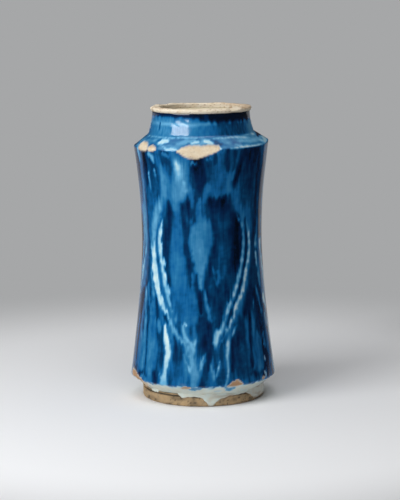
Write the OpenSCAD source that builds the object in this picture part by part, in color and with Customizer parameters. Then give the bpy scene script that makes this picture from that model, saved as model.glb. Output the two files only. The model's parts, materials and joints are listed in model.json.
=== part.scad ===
// Albarello: a waisted drug jar of glazed earthenware.
// Thrown clay sections are luted with slip, covered with a white ground glaze, painted with
// cobalt in three drop-shaped medallions, and lined with glaze inside. The lip and foot are bare.
// The jar stands on the XY plane, its axis is Z and the front medallion faces -Y. Millimetres.

/* [Foot and floor] */
// Outside radius of the turned foot ring
foot_r = 59; // [56:0.5:62]
// Height of the foot ring
foot_h = 11.5; // [9:0.5:12.5]
// Bevel along the lower outside edge of the foot
foot_bevel = 1.2; // [0.5:0.1:2]
// Depth of the turned groove near the top of the foot
groove_depth = 1; // [0.4:0.1:2]
// Height of that groove
groove_h = 1.6; // [0.8:0.1:2.5]
// Clay left between the groove and the top of the foot
groove_drop = 1; // [0.5:0.1:2]
// Width of the foot ring, from its outside to the hollow under it
foot_ring_w = 15; // [12:0.5:22]
// Depth of the hollow under the foot, up to the seat of the floor
hollow_depth = 5.5; // [4.5:0.5:7]
// Width of the foot's rim around the seat of the floor
floor_rim_w = 8.5; // [7:0.5:11]
// Thickness of the floor disc
floor_t = 8; // [7:0.5:12]

/* [Wall] */
// Rise of the underside from the foot to the skirt edge
skirt_rise = 10.5; // [8:0.5:14]
// Outside radius of the skirt edge
skirt_r = 70.6; // [67:0.2:74]
// Height of the wall from the skirt edge to the shoulder edge
wall_h = 222.5; // [200:0.5:250]
// Outside radius of the waist, the narrowest place of the wall
waist_r = 57.9; // [56:0.1:62]
// Height of the waist above the skirt edge
waist_rise = 132; // [115:1:145]
// How late the wall flares below the waist, where 1 is a straight cone
lower_flare = 1.6; // [1.2:0.05:2]
// How late the wall flares above the waist, where 1 is a straight cone
upper_flare = 2.1; // [1.4:0.05:2.6]
// Thickness of the clay wall
wall_t = 6; // [5:0.5:8]
// Height of the rounded corner between floor and wall inside
cove_h = 15; // [12:1:24]

/* [Shoulder, neck and lip] */
// Outside radius of the shoulder edge
shoulder_r = 64.8; // [62.6:0.2:68]
// Rise of the sloping shoulder
shoulder_h = 11.5; // [9:0.5:15]
// Outside radius of the neck where it leaves the shoulder
neck_base_r = 50.8; // [49.5:0.1:54]
// How much the neck's radius shrinks up to the lip
neck_taper = 4; // [0:0.1:5]
// Height of the neck between shoulder and lip
neck_h = 21; // [17:0.5:28]
// Overhang of the lip past the neck
lip_overhang = 1.9; // [1.2:0.1:5]
// Thickness of the lip
lip_h = 5; // [4:0.25:8]
// Bevel on the edges of the lip
lip_bevel = 0.9; // [0.3:0.1:1.1]
// Thickness of the neck under the lip, with its coats, down to the clear mouth
neck_t = 6.8; // [5.3:0.1:10]

/* [Coats] */
// Thickness of the white ground glaze on the outside
ground_t = 0.5; // [0.3:0.05:0.8]
// Thickness of the cobalt painting over the ground
cobalt_t = 0.4; // [0.2:0.05:0.7]
// Thickness of the glaze lining inside
lining_t = 0.5; // [0.3:0.05:0.9]
// Thickness of the glaze runs on the foot
run_t = 0.6; // [0.3:0.05:0.9]
// Width of the widest glaze run
run_w = 34; // [20:1:36]
// Length of the longest glaze run
run_l = 10; // [6:0.5:11]

/* [Luted seams] */
// Thickness of the slip between two clay sections
slip_t = 0.5; // [0.3:0.05:0.8]
// Height of the tongue that laps two wall sections
lap_h = 5; // [3:0.5:8]
// Drop of the shoulder seam below the shoulder edge
shoulder_seam_drop = 22; // [14:0.5:40]
// Rise of the neck seam above the root of the neck
neck_seam_rise = 1; // [1:0.5:8]

/* [Medallions] */
// Half of the angle that a medallion covers at its widest
medallion_half_angle = 54.6; // [40:0.2:56]
// Rise of the medallion's lower tip above the skirt edge
medallion_rise = 4; // [2:0.5:10]
// Height of a medallion from its tip to its crown
medallion_h = 172; // [140:1:190]
// Width of each white line that the cobalt leaves open
reserve_w = 4.2; // [2.5:0.1:5.5]
// Width of the cobalt outline between the two white lines
outline_w = 2.4; // [1.5:0.1:4]

/* [Chips] */
// Depth of the long chip on the shoulder edge
shoulder_chip_depth = 3.4; // [3:0.1:4]
// Length of the long chip along the shoulder edge
shoulder_chip_len = 37; // [24:1:38]
// Depth of the small chips on the shoulder and skirt edges
small_chip_depth = 1.7; // [1.2:0.1:2.2]
// Length of the small chips
small_chip_len = 11; // [8:0.5:16]

/* [Hidden] */
$fn = 96;

// Heights of the zones, each stacked on the one below
skirt_z = foot_h + skirt_rise;
waist_z = skirt_z + waist_rise;
shoulder_z = skirt_z + wall_h;
neck_z = shoulder_z + shoulder_h;
lip_z = neck_z + neck_h;
jar_h = lip_z + lip_h;

// Steps along the two curves of the wall, and along one side of a medallion
lower_steps = 8;
upper_steps = 6;
drop_steps = 22;

// A radius past every surface, for cutting tools
far_r = 2 * skirt_r;

neck_top_r = neck_base_r - neck_taper;
lip_r = neck_top_r + lip_overhang;
mouth_r = neck_top_r - neck_t;
coat_t = ground_t + cobalt_t;
bore_r = mouth_r + lining_t;
floor_seat_z = hollow_depth + slip_t;
floor_top_z = floor_seat_z + floor_t;
hollow_r = foot_r - foot_ring_w;
floor_hole_r = foot_r - floor_rim_w;
floor_r = floor_hole_r - slip_t;

// Places in the outside line: the skirt edge, the shoulder edge, the root and top of the neck
at_skirt = 1;
at_shoulder = at_skirt + lower_steps + upper_steps;
at_neck = at_shoulder + 1;
at_lip = at_neck + 1;

// Outside radius of the finished wall at a height
function wall_radius(z) = z < waist_z
    ? waist_r + (skirt_r - waist_r) * pow((waist_z - z) / (waist_z - skirt_z), lower_flare)
    : waist_r + (shoulder_r - waist_r) * pow((z - waist_z) / (shoulder_z - waist_z), upper_flare);

wall_heights = concat(
    [for (i = [0 : lower_steps - 1]) skirt_z + waist_rise * i / lower_steps],
    [for (i = [0 : upper_steps]) waist_z + (shoulder_z - waist_z) * i / upper_steps]);

// The finished outside, from the top of the foot to the underside of the lip
outside_line = concat(
    [[foot_r, foot_h]],
    [for (z = wall_heights) [wall_radius(z), z]],
    [[neck_base_r, neck_z], [neck_top_r, lip_z]]);

// Unit normal of a line's step, pointing away from the axis when the line climbs
function step_normal(a, b) = let (v = b - a) [v[1], -v[0]] / norm(v);

// A line moved inwards by d along its normals, with its two ends kept at their heights
function inset_line(line, d) = [for (i = [0 : len(line) - 1])
    let (below = step_normal(line[max(i - 1, 0)], line[max(i, 1)]),
         above = step_normal(line[min(i, len(line) - 2)], line[min(i + 1, len(line) - 1)]))
    i == 0 ? line[i] - [d / above[0], 0]
    : i == len(line) - 1 ? line[i] - [d / below[0], 0]
    : line[i] - d * (below + above) / (1 + below * above)];

ground_line = inset_line(outside_line, cobalt_t);
clay_line = inset_line(outside_line, coat_t);

// Outside radius of the clay at a height on the wall or the neck
function clay_radius(z) = lookup(z, [for (p = clay_line) [p[1], p[0]]]);

// The inside of the clay: cove, wall, underside of the shoulder and bore of the neck
shoulder_slope = shoulder_h / (shoulder_r - neck_base_r);
shoulder_drop = (wall_t + coat_t) * sqrt(1 + shoulder_slope * shoulder_slope);
function under_shoulder_z(r) = shoulder_z - shoulder_drop + (shoulder_r - r) * shoulder_slope;
inner_top_r = clay_radius(shoulder_z) - wall_t;
inner_top_z = under_shoulder_z(inner_top_r);
cove_z = floor_top_z + cove_h;
inner_steps = lower_steps + upper_steps;
inner_line = concat(
    [[floor_hole_r, floor_top_z]],
    [for (i = [0 : inner_steps - 1])
        let (z = cove_z + (inner_top_z - cove_z) * i / inner_steps) [clay_radius(z) - wall_t, z]],
    [[inner_top_r, inner_top_z], [bore_r, under_shoulder_z(bore_r)], [bore_r, lip_z]]);

// A list from its last entry to its first, and a part of a list
function reversed(list) = [for (i = [len(list) - 1 : -1 : 0]) list[i]];
function part_of(list, first, last) = [for (i = [first : last]) list[i]];

// The zone between two lines, from one place in them to another
module between(outer, inner, first, last) {
    polygon(concat(part_of(outer, first, last), reversed(part_of(inner, first, last))));
}

// Section of all the clay between the foot and the lip
module clay_section() {
    polygon(concat(clay_line, reversed(inner_line), [[floor_hole_r, foot_h]]));
}

// Height and lap radius of the three lapped seams
waist_seam = [waist_z, clay_radius(waist_z) - wall_t / 2];
shoulder_seam_z = shoulder_z - shoulder_seam_drop;
shoulder_seam = [shoulder_seam_z, clay_radius(shoulder_seam_z) - wall_t / 2];
neck_seam_z = neck_z + neck_seam_rise;
neck_seam = [neck_seam_z, (clay_radius(neck_seam_z) + bore_r) / 2];

// The stepped line of a lapped seam, from the inside out, raised by up
function lap_line(seam, up) = [
    [0, seam[0] + lap_h + up], [seam[1] + up, seam[0] + lap_h + up],
    [seam[1] + up, seam[0] + up], [far_r, seam[0] + up]];

module below_seam(seam) {
    polygon(concat(lap_line(seam, 0), [[far_r, 0], [0, 0]]));
}

module above_seam(seam) {
    polygon(concat(lap_line(seam, slip_t), [[far_r, jar_h], [0, jar_h]]));
}

module seam_gap(seam) {
    polygon(concat(lap_line(seam, 0), reversed(lap_line(seam, slip_t))));
}

// Cuts that leave the foot seam and the lip seam to the slip
module above_foot_seam() {
    translate([0, foot_h + slip_t]) square([far_r, jar_h]);
}

module below_lip_seam() {
    square([far_r, lip_z - slip_t]);
}

// Half of the angle that a medallion covers, at a share of its height, moved in by inset
drop_peak = 1.81;
drop_fullness = 0.55;
function drop_half_angle(share, inset) =
    (medallion_half_angle - inset / waist_r * 180 / PI)
    * pow(max(sin(180 * pow(share, drop_peak)), 0), drop_fullness);

// A medallion's outline as seen from its front, moved in by inset; the sharp tip moves further
tip_inset_ratio = 2;
function drop_point(i, inset, side) =
    let (tip_z = skirt_z + medallion_rise + tip_inset_ratio * inset,
         crown_z = skirt_z + medallion_rise + medallion_h - inset,
         share = i / drop_steps,
         z = tip_z + (crown_z - tip_z) * share)
    [side * wall_radius(z) * sin(drop_half_angle(share, inset)), z];

function drop_outline(inset) = concat(
    [for (i = [0 : drop_steps]) drop_point(i, inset, 1)],
    [for (i = [drop_steps - 1 : -1 : 1]) drop_point(i, inset, -1)]);

// Turns of the front, right and left medallions round the axis, set out by eye on the pot
medallion_turns = [0, 113, 244];

// A prism through the wall at one medallion, pointing away from the axis
module drop_prism(turn, inset) {
    rotate([90, 0, turn]) linear_extrude(height = far_r) polygon(drop_outline(inset));
}

outline_inset = reserve_w;
outline_end_inset = reserve_w + outline_w;
panel_inset = outline_end_inset + reserve_w;

// Chips: a ball outside bites the edge, so that the scar is a shallow lens.
// Its radius follows from the edge's radius and the scar's length and depth; a scar that is
// long for its depth needs a nearly flat bite.
flattest_bite = 0.85;
function bite_ball_r(edge_r, length, depth) =
    let (k = min(length * length / (8 * depth), flattest_bite * edge_r)) k * edge_r / (edge_r - k);

// The bites are held to a band round the edge, so that they reach nothing else
chip_band = 10;
module chip(turn, tilt, edge_r, edge_z, length, depth) {
    ball_r = bite_ball_r(edge_r, length, depth);
    intersection() {
        translate([0, 0, edge_z]) rotate([0, 0, turn]) translate([0, -edge_r, 0])
            rotate([-tilt, 0, 0]) translate([0, depth - ball_r, 0]) sphere(r = ball_r);
        translate([0, 0, edge_z - chip_band]) cylinder(r = far_r, h = 2 * chip_band);
    }
}

// Turns of the chips round the axis from the front, and how far their cuts lean
long_chip_turn = -1;
shoulder_chip_turns = [-57, -44, 78, 163];
skirt_chip_turns = [-70, -16, 26, 58, 141, 214];
shoulder_chip_tilt = 20;
skirt_chip_tilt = -21;

module shoulder_chips() {
    chip(long_chip_turn, shoulder_chip_tilt, shoulder_r, shoulder_z,
        shoulder_chip_len, shoulder_chip_depth);
    for (turn = shoulder_chip_turns)
        chip(turn, shoulder_chip_tilt, shoulder_r, shoulder_z, small_chip_len, small_chip_depth);
}

module skirt_chips() {
    for (turn = skirt_chip_turns)
        chip(turn, skirt_chip_tilt, skirt_r, skirt_z, small_chip_len, small_chip_depth);
}

// The foot's outside, from its bevel to its top
groove_top_z = foot_h - groove_drop;
foot_line = [[foot_r - foot_bevel, 0], [foot_r, foot_bevel], [foot_r, groove_top_z - groove_h],
    [foot_r - groove_depth, groove_top_z - groove_h], [foot_r - groove_depth, groove_top_z],
    [foot_r, groove_top_z], [foot_r, foot_h]];

// Bare fired clay

module foot_ring() {
    color("#a98f68") rotate_extrude()
        polygon(concat(foot_line, [[floor_hole_r, foot_h], [floor_hole_r, hollow_depth],
            [hollow_r, hollow_depth], [hollow_r, 0]]));
}

module floor_disc() {
    color("#d8bd95") translate([0, 0, floor_seat_z]) cylinder(r = floor_r, h = floor_t);
}

module lower_wall() {
    color("#d8bd95") difference() {
        rotate_extrude() intersection() {
            clay_section();
            above_foot_seam();
            below_seam(waist_seam);
        }
        skirt_chips();
    }
}

module upper_wall() {
    color("#d8bd95") rotate_extrude() intersection() {
        clay_section();
        above_seam(waist_seam);
        below_seam(shoulder_seam);
    }
}

module shoulder_ring() {
    color("#d8bd95") difference() {
        rotate_extrude() intersection() {
            clay_section();
            above_seam(shoulder_seam);
            below_seam(neck_seam);
        }
        shoulder_chips();
    }
}

module neck_collar() {
    color("#d8bd95") rotate_extrude() intersection() {
        clay_section();
        above_seam(neck_seam);
        below_lip_seam();
    }
}

module rim_lip() {
    color("#e3cfa4") rotate_extrude()
        polygon([[mouth_r, lip_z], [lip_r - lip_bevel, lip_z], [lip_r, lip_z + lip_bevel],
            [lip_r, jar_h - lip_bevel], [lip_r - lip_bevel, jar_h],
            [mouth_r + lip_bevel, jar_h], [mouth_r, jar_h - lip_bevel]]);
}

// Fired slip that lutes the sections

module foot_slip() {
    color("#c9ad84") rotate_extrude()
        polygon([[hollow_r, hollow_depth], [floor_hole_r, hollow_depth], [floor_hole_r, foot_h],
            clay_line[0], [clay_radius(foot_h + slip_t), foot_h + slip_t],
            [floor_hole_r, foot_h + slip_t], [floor_hole_r, floor_top_z], [floor_r, floor_top_z],
            [floor_r, floor_seat_z], [hollow_r, floor_seat_z]]);
}

module lap_slip(seam) {
    color("#c9ad84") rotate_extrude() intersection() {
        clay_section();
        seam_gap(seam);
    }
}

module waist_slip() {
    lap_slip(waist_seam);
}

module shoulder_slip() {
    lap_slip(shoulder_seam);
}

module neck_slip() {
    lap_slip(neck_seam);
}

module lip_slip() {
    color("#c9ad84") rotate_extrude() difference() {
        clay_section();
        below_lip_seam();
    }
}

// Fired coats

module white_ground() {
    color("#dfe3d6") difference() {
        rotate_extrude() between(ground_line, clay_line, 0, at_lip);
        shoulder_chips();
        skirt_chips();
    }
}

// The lining's inner face: the floor, and the inside of the clay moved in by its thickness
lining_line = inset_line(inner_line, lining_t);

module inner_glaze() {
    color("#d9d2b8") rotate_extrude()
        polygon(concat([[0, floor_top_z]], inner_line, [[mouth_r, lip_z]],
            reversed(part_of(lining_line, 1, len(lining_line) - 2)),
            [[lookup(floor_top_z + lining_t, [for (p = lining_line) [p[1], p[0]]]),
                floor_top_z + lining_t], [0, floor_top_z + lining_t]]));
}

// Runs of the ground glaze over the foot: the turn of each from the front, and its shares of the
// widest one's width and of the longest one's length
runs = [[-15, 0.47, 0.3], [-3, 0.2, 0.85], [5, 0.2, 1], [13, 0.24, 0.6], [27, 0.53, 0.35],
    [58, 0.88, 0.8], [98, 0.65, 0.5], [127, 0.35, 0.95], [158, 1, 0.4], [196, 0.47, 0.8],
    [229, 0.88, 0.55], [268, 0.76, 0.7]];
run_steps = 12;

// One run as seen from its front: a tongue that hangs from the top of the foot
module run_tongue(width, length) {
    polygon([for (i = [0 : run_steps]) let (a = 180 * i / run_steps)
        [-width / 2 * cos(a), foot_h - length * sin(a)]]);
}

module foot_glaze_runs() {
    color("#d9ddcf") for (run = runs)
        intersection() {
            rotate_extrude()
                translate([foot_r, foot_bevel]) square([run_t, foot_h - foot_bevel]);
            rotate([90, 0, run[0]]) linear_extrude(height = far_r)
                run_tongue(run[1] * run_w, run[2] * run_l);
        }
}

module cobalt_neck_band() {
    color("#0d4c8c") rotate_extrude() between(outside_line, ground_line, at_neck, at_lip);
}

module cobalt_shoulder_band() {
    color("#1a66a8") difference() {
        rotate_extrude() between(outside_line, ground_line, at_shoulder, at_neck);
        shoulder_chips();
    }
}

// The cobalt on the wall, before anything is left open in it
module cobalt_wall() {
    rotate_extrude() between(outside_line, ground_line, at_skirt, at_shoulder);
}

module cobalt_field() {
    color("#0b3f80") difference() {
        cobalt_wall();
        for (turn = medallion_turns) drop_prism(turn, 0);
        shoulder_chips();
        skirt_chips();
    }
}

module medallion(turn) {
    color("#12559b") intersection() {
        cobalt_wall();
        drop_prism(turn, panel_inset);
    }
}

module medallion_outline(turn) {
    color("#0a3672") difference() {
        intersection() {
            cobalt_wall();
            drop_prism(turn, outline_inset);
        }
        drop_prism(turn, outline_end_inset);
    }
}

module front_medallion() {
    medallion(medallion_turns[0]);
}

module right_medallion() {
    medallion(medallion_turns[1]);
}

module left_medallion() {
    medallion(medallion_turns[2]);
}

module front_outline() {
    medallion_outline(medallion_turns[0]);
}

module right_outline() {
    medallion_outline(medallion_turns[1]);
}

module left_outline() {
    medallion_outline(medallion_turns[2]);
}

foot_ring();
floor_disc();
lower_wall();
upper_wall();
shoulder_ring();
neck_collar();
rim_lip();
foot_slip();
waist_slip();
shoulder_slip();
neck_slip();
lip_slip();
white_ground();
inner_glaze();
foot_glaze_runs();
cobalt_neck_band();
cobalt_shoulder_band();
cobalt_field();
front_medallion();
right_medallion();
left_medallion();
front_outline();
right_outline();
left_outline();
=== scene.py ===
"""Looks of a waisted drug jar of glazed earthenware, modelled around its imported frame.

The jar stands on the XY plane and its axis is Z. A place on its outside is a turn, in degrees round
the axis from the front at -Y and positive to the right, and a height in millimetres.
"""
import json
import math
import random
from collections import namedtuple

import bmesh
import bpy
import numpy as np
from bpy.props import FloatProperty, FloatVectorProperty, IntProperty, PointerProperty
from mathutils import Matrix, Vector, noise


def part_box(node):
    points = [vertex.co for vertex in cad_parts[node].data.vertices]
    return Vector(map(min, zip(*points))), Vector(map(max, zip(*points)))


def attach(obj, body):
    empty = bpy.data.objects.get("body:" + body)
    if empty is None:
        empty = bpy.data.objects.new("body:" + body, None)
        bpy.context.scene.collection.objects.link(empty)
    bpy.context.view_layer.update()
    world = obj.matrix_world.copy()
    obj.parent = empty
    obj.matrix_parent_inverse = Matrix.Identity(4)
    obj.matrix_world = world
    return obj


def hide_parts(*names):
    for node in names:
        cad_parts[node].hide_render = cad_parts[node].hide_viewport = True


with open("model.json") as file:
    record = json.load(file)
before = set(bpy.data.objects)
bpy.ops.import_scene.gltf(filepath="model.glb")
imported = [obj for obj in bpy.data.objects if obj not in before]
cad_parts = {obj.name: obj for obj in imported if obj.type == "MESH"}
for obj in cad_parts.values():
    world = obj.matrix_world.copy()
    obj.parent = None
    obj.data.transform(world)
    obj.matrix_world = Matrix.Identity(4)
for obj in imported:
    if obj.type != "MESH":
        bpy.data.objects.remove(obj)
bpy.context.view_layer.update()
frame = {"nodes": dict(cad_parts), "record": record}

bl_info = {
    "name": "Glazed Drug Jar",
    "version": (1, 0, 0),
    "blender": (4, 5, 0),
    "location": "View3D > Sidebar > Drug Jar",
    "description": "Models the glaze, lip, lining and foot of a waisted drug jar",
    "category": "Add Mesh",
}

MM = 0.001
BODY = "root"

# Sizes of the frame's nodes, in millimetres
foot_r, foot_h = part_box("foot_ring")[1].x / MM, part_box("foot_ring")[1].z / MM
skirt_r, skirt_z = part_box("cobalt_field")[1].x / MM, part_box("cobalt_field")[0].z / MM
shoulder_r, shoulder_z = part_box("cobalt_shoulder_band")[1].x / MM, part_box("cobalt_field")[1].z / MM
neck_base_r, neck_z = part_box("cobalt_neck_band")[1].x / MM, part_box("cobalt_neck_band")[0].z / MM
lip_r, lip_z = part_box("rim_lip")[1].x / MM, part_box("rim_lip")[0].z / MM
jar_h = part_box("rim_lip")[1].z / MM
floor_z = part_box("inner_glaze")[0].z / MM
hollow_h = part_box("floor_disc")[0].z / MM
mouth_r = next(m for m in frame["record"]["mounts"] if m["name"] == "mouth")["dims"]["r_mm"]


def linear(hex_colour):
    """An sRGB hex colour as linear RGBA."""
    channels = [int(hex_colour[i:i + 2], 16) / 255 for i in (1, 3, 5)]
    return tuple(c / 12.92 if c <= 0.04045 else ((c + 0.055) / 1.055) ** 2.4 for c in channels) + (1.0,)


def length(name, description, millimetres):
    """A size that a user may change, kept in metres."""
    return FloatProperty(name=name, description=description, default=millimetres * MM, unit="LENGTH")


def colour(name, description, hex_colour):
    """A colour that a user may change."""
    return FloatVectorProperty(name=name, description=description, default=linear(hex_colour),
                               size=4, min=0.0, max=1.0, subtype="COLOR")


class JarShape(bpy.types.PropertyGroup):
    """Sizes of the jar's surface that its frame doesn't give by itself."""
    waist_r: length("Waist radius", "Outside radius at the narrowest place", 57.9)
    waist_rise: length("Waist rise", "Height of the waist above the skirt edge", 132)
    lower_flare: FloatProperty(name="Lower flare", default=1.6,
                               description="How late the wall flares below the waist; 1 is a cone")
    upper_flare: FloatProperty(name="Upper flare", default=2.1,
                               description="How late the wall flares above the waist; 1 is a cone")
    neck_top_r: length("Neck top radius", "Outside radius of the neck under the lip", 46.8)
    skirt_round: length("Skirt rounding", "Radius of the glazed skirt edge", 1.6)
    shoulder_round: length("Shoulder rounding", "Radius of the glazed shoulder edge", 1.9)
    root_round: length("Neck root rounding", "Radius of the glaze pooled at the root of the neck", 5)
    glaze_t: length("Glaze thickness", "Thickness of the glaze with its painting", 0.85)
    wobble: length("Wobble", "How far the thrown wall strays from a true round", 0.35)
    ripple: length("Ripple", "Height of the ripples that the running glaze left", 0.16)
    lining_gap: length("Wall thickness", "Thickness of the wall from glaze to lining", 7.4)
    seed: IntProperty(name="Seed", description="Seed of the wander between the three medallions", default=7)


class JarColours(bpy.types.PropertyGroup):
    """Colours of the jar's finishes."""
    ground: colour("White ground", "The ground glaze where it is left open", "#D3E9EA")
    cream: colour("Cream ground", "The ground glaze where it is thin and stained", "#D2CAB4")
    pale: colour("Pale blue", "Cobalt washed thin", "#6AAFD6")
    cobalt: colour("Cobalt", "Cobalt at its usual strength", "#0F5E97")
    navy: colour("Navy", "Cobalt where it pooled thick", "#032249")
    clay: colour("Broken clay", "Fired clay in the chips", "#E4DAC6")
    ochre: colour("Ochre clay", "Iron-stained clay in the chips", "#CFB894")
    lip: colour("Lip clay", "Worn clay of the lip", "#EFE8DA")
    stain: colour("Stain", "Brown stain on the lip and the foot", "#96672F")
    foot: colour("Foot clay", "Bare clay of the foot", "#93836A")
    lining: colour("Lining", "Thin glaze inside", "#E8E0C6")
    floor: colour("Floor", "Pale floor under the jar", "#F4F5F7")
    backdrop: colour("Backdrop", "Floor further away, behind the jar", "#A6A7A8")
    dim: colour("Dim room", "Floor further away, beside and before the jar", "#2C2D30")


# A stroke has its tone at its first and last place, from 0 for open white to 100 for pooled navy, the
# softness of its edge in millimetres, its places as (turn, height, width) and the spacing of its beads.
Stroke = namedtuple("Stroke", "first last soft places beads", defaults=(0,))
FULL_TONE = 100


def strokes(*rows):
    """Strokes from rows of two tones, softness and places; a beaded stroke comes ready made."""
    return [row if isinstance(row, Stroke) else Stroke(*row[:3], row[3:]) for row in rows]


# The painting: strokes of one sector, from the washes to the last drips that lie over them. Its right half is
# painted darker than its left, partly painted shade of the side away from the light.

WASHES = strokes(
    (74, 64, 9, (-54, 240, 30), (-54, 205, 26), (-56, 160, 12)),
    (91, 77, 7, (50, 243, 38), (50, 225, 36), (50, 205, 28), (50, 188, 16)),
    (80, 84, 3, (0, 186, 58), (0, 170, 78), (0, 150, 80), (0, 135, 74), (0, 120, 62), (0, 105, 48),
     (1, 92, 32), (2, 78, 18)),
    (64, 56, 5, (-24, 188, 9), (-25.5, 165, 17), (-26, 148, 19), (-24, 130, 20), (-21, 115, 17),
     (-15, 100, 10)),
    (74, 72, 4, (18, 164, 6), (18, 145, 10), (18, 124, 9)),
    (64, 62, 5, (-14, 112, 14), (-12, 98, 18), (-10, 88, 16)),
    (50, 48, 5, (-52.5, 76, 5), (-52.5, 60, 12), (-51, 36, 12)),
    # Pale streaks from here towards the left edge: lighter cobalt with painted sheen of the light at the left
    (38, 46, 2.5, (-63, 108, 4), (-60, 88, 6), (-59, 60, 6), (-58, 34, 5)),
    (48, 50, 3, (-65, 66, 3), (-64, 50, 5), (-63, 38, 4)),
    (87, 78, 4, (34, 84, 8), (33, 60, 16), (33, 34, 18)),
    (75, 71, 3, (35, 62, 5), (35.5, 40, 6)),
    (79, 87, 4, (67, 228, 8), (67, 200, 12), (65, 184, 16), (60, 160, 16), (59, 138, 16), (55, 120, 18),
     (57, 104, 26), (62, 80, 16), (63, 40, 12)),
    (92, 88, 2.5, (56, 108, 5), (55, 90, 9), (54.5, 72, 8)),
    (70, 66, 2.5, (56.5, 60, 6), (57, 37, 7)),
    (60, 60, 1.5, (63.5, 65, 3), (65, 55, 4)),
    (88, 90, 2, (42, 32, 4), (50, 29, 4), (58, 30, 5)),
    (66, 72, 3, (63.5, 244, 6), (65, 228, 5)),
    (84, 80, 3, (12, 89, 8), (12, 75, 6)),
    (82, 80, 2, (18.8, 71, 4), (17.6, 62, 4)),
    (55, 50, 3, (-51, 97, 3), (-51.5, 80, 5)),
    (88, 84, 2, (-45.5, 102, 5), (-44.5, 84, 5)),
    (88, 90, 2, (-43.5, 33, 5), (-41, 23, 6)),
    (40, 42, 1.5, (-58, 28, 3), (-53, 26, 3)),
    (62, 60, 2, (64, 196, 3), (64.5, 175, 4), (63.5, 150, 4)),
    (66, 66, 3, (56.5, 214, 4), (56, 190, 4)),
    (87, 87, 3, (71.5, 225, 8), (71.5, 190, 8), (71.5, 160, 8)),
    (92, 88, 3, (49, 114, 5), (44, 102, 8), (40, 90, 8)),
    (20, 26, 1.2, (61, 161, 2.2), (61, 150, 3.4)),
    (22, 30, 1.2, (61, 143, 3), (62, 131, 3.4)),
    (34, 40, 1.2, (64, 123, 2.6), (66.5, 114, 3)),
    (50, 56, 1.5, (57, 112, 2), (61, 101, 3), (65, 86, 3)),
    (44, 46, 0.8, (52.5, 100, 1), (51.5, 90, 1.2)),
    (70, 72, 2.5, (69, 141, 5), (70, 122, 7), (72, 106, 6)),
    (90, 90, 3, (66, 47, 6), (66, 40, 9), (64, 28, 8)),
    (78, 74, 3, (-41, 80, 4), (-40, 60, 6), (-39, 44, 5)),
    (62, 60, 2.5, (-66.5, 240, 5), (-66, 214, 5)),
    # Pale streaks at the left edge: lighter cobalt with painted reflection along it
    (42, 48, 2, (-66, 215, 3), (-65, 190, 4), (-65, 165, 4), (-66, 150, 3)),
    (40, 46, 4, (-71, 186, 6), (-69, 168, 9), (-66, 156, 7)),
    (52, 50, 3, (-68, 125, 4), (-69.5, 114, 5)),
    (36, 42, 1.5, (-55.5, 128, 2.5), (-52, 115, 3.5), (-50, 103, 3)),
    (76, 63, 3, (52, 90, 3), (51, 60, 6), (50.5, 42, 6)),
    (86, 70, 3, (-21, 66, 8), (-21, 48, 10), (-20, 30, 8)),
    (84, 88, 2, (2, 42, 4), (1, 32, 5), (-1.6, 22, 7)),
    (78, 74, 4, (14, 58, 10), (13, 40, 12), (12, 26, 14)),
    (71, 64, 5, (18, 240, 20), (17, 220, 20), (16, 207, 20)),
)

CROWN_DRIPS = strokes(
    (96, 86, 2, (-58.6, 241, 7), (-58, 230, 7.6), (-57.5, 214, 6)),
    (84, 72, 4, (-50, 238, 8), (-47, 228, 7), (-45, 211, 5)),
    (82, 66, 3, (-33, 241, 12), (-30, 232, 10), (-28, 222, 7), (-27, 207, 4)),
    (100, 78, 4, (-2, 240, 13), (-2, 228, 15), (-2, 216, 13), (-4, 206, 7), (-6, 195, 2)),
    (84, 70, 3, (6, 236, 7), (7, 222, 7), (7, 211, 4)),
    (86, 84, 1.2, (12, 241, 3.5), (12, 232, 3)),
    (88, 86, 1.8, (21.8, 243, 5), (22.4, 234, 5), (23.6, 226, 4)),
    (86, 84, 1.6, (29.6, 243, 4), (29.6, 234, 4), (29.6, 226, 3)),
    (94, 94, 2, (44, 237, 6), (38, 236, 6), (34, 226, 5.5), (31, 216, 5), (29.5, 210, 5)),
    (90, 84, 2, (42, 232, 5), (41, 220, 4)),
    (92, 88, 2.5, (60, 228, 4), (60, 205, 5), (59, 185, 5), (58, 158, 4)),
    (80, 74, 2.5, (-62, 200, 3), (-62, 160, 2.5), (-61, 125, 4)),
    (80, 78, 1.5, (-61, 98, 2), (-57, 83, 2.5), (-55, 58, 2.5), (-53.5, 28, 2.5)),
)

PETALS = strokes(
    (87, 76, 1.2, (-13.8, 194.5, 8), (-13.8, 187, 10.5), (-14.6, 179, 6)),
    (92, 80, 1.2, (9, 197.5, 7), (9, 189, 10), (10, 180, 9)),
    (95, 76, 1.2, (19.5, 195.5, 13), (19.5, 188, 17), (22, 177, 16)),
    (84, 87, 1.4, (26, 203, 3), (26, 194, 5)),
    (92, 80, 2.2, (-32, 195, 4), (-31.4, 184, 7), (-34.2, 170, 9), (-36, 157, 8.5), (-36.5, 145, 8),
     (-35, 130, 6), (-31, 116, 4)),
    (97, 90, 4, (33, 180, 8), (35, 168, 14), (35, 152, 12), (33, 137, 10)),
    (84, 87, 1, (-16, 182, 3.2), (-16, 170, 3.6), (-15.5, 157, 4.2), (-14.5, 147, 3.3)),
    (80, 84, 0.9, (-13.4, 148, 3), (-12.1, 136, 2.6), (-11.2, 126, 2.4), (-10.9, 117, 1.6)),
    (60, 58, 1.0, (-8.8, 128, 2), (-8.6, 115, 2)),
    (86, 86, 1.2, (12.5, 177, 5), (13, 162, 8), (11.5, 149, 8), (9.3, 138, 6), (7, 128, 5),
     (5, 117, 3)),
)

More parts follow.
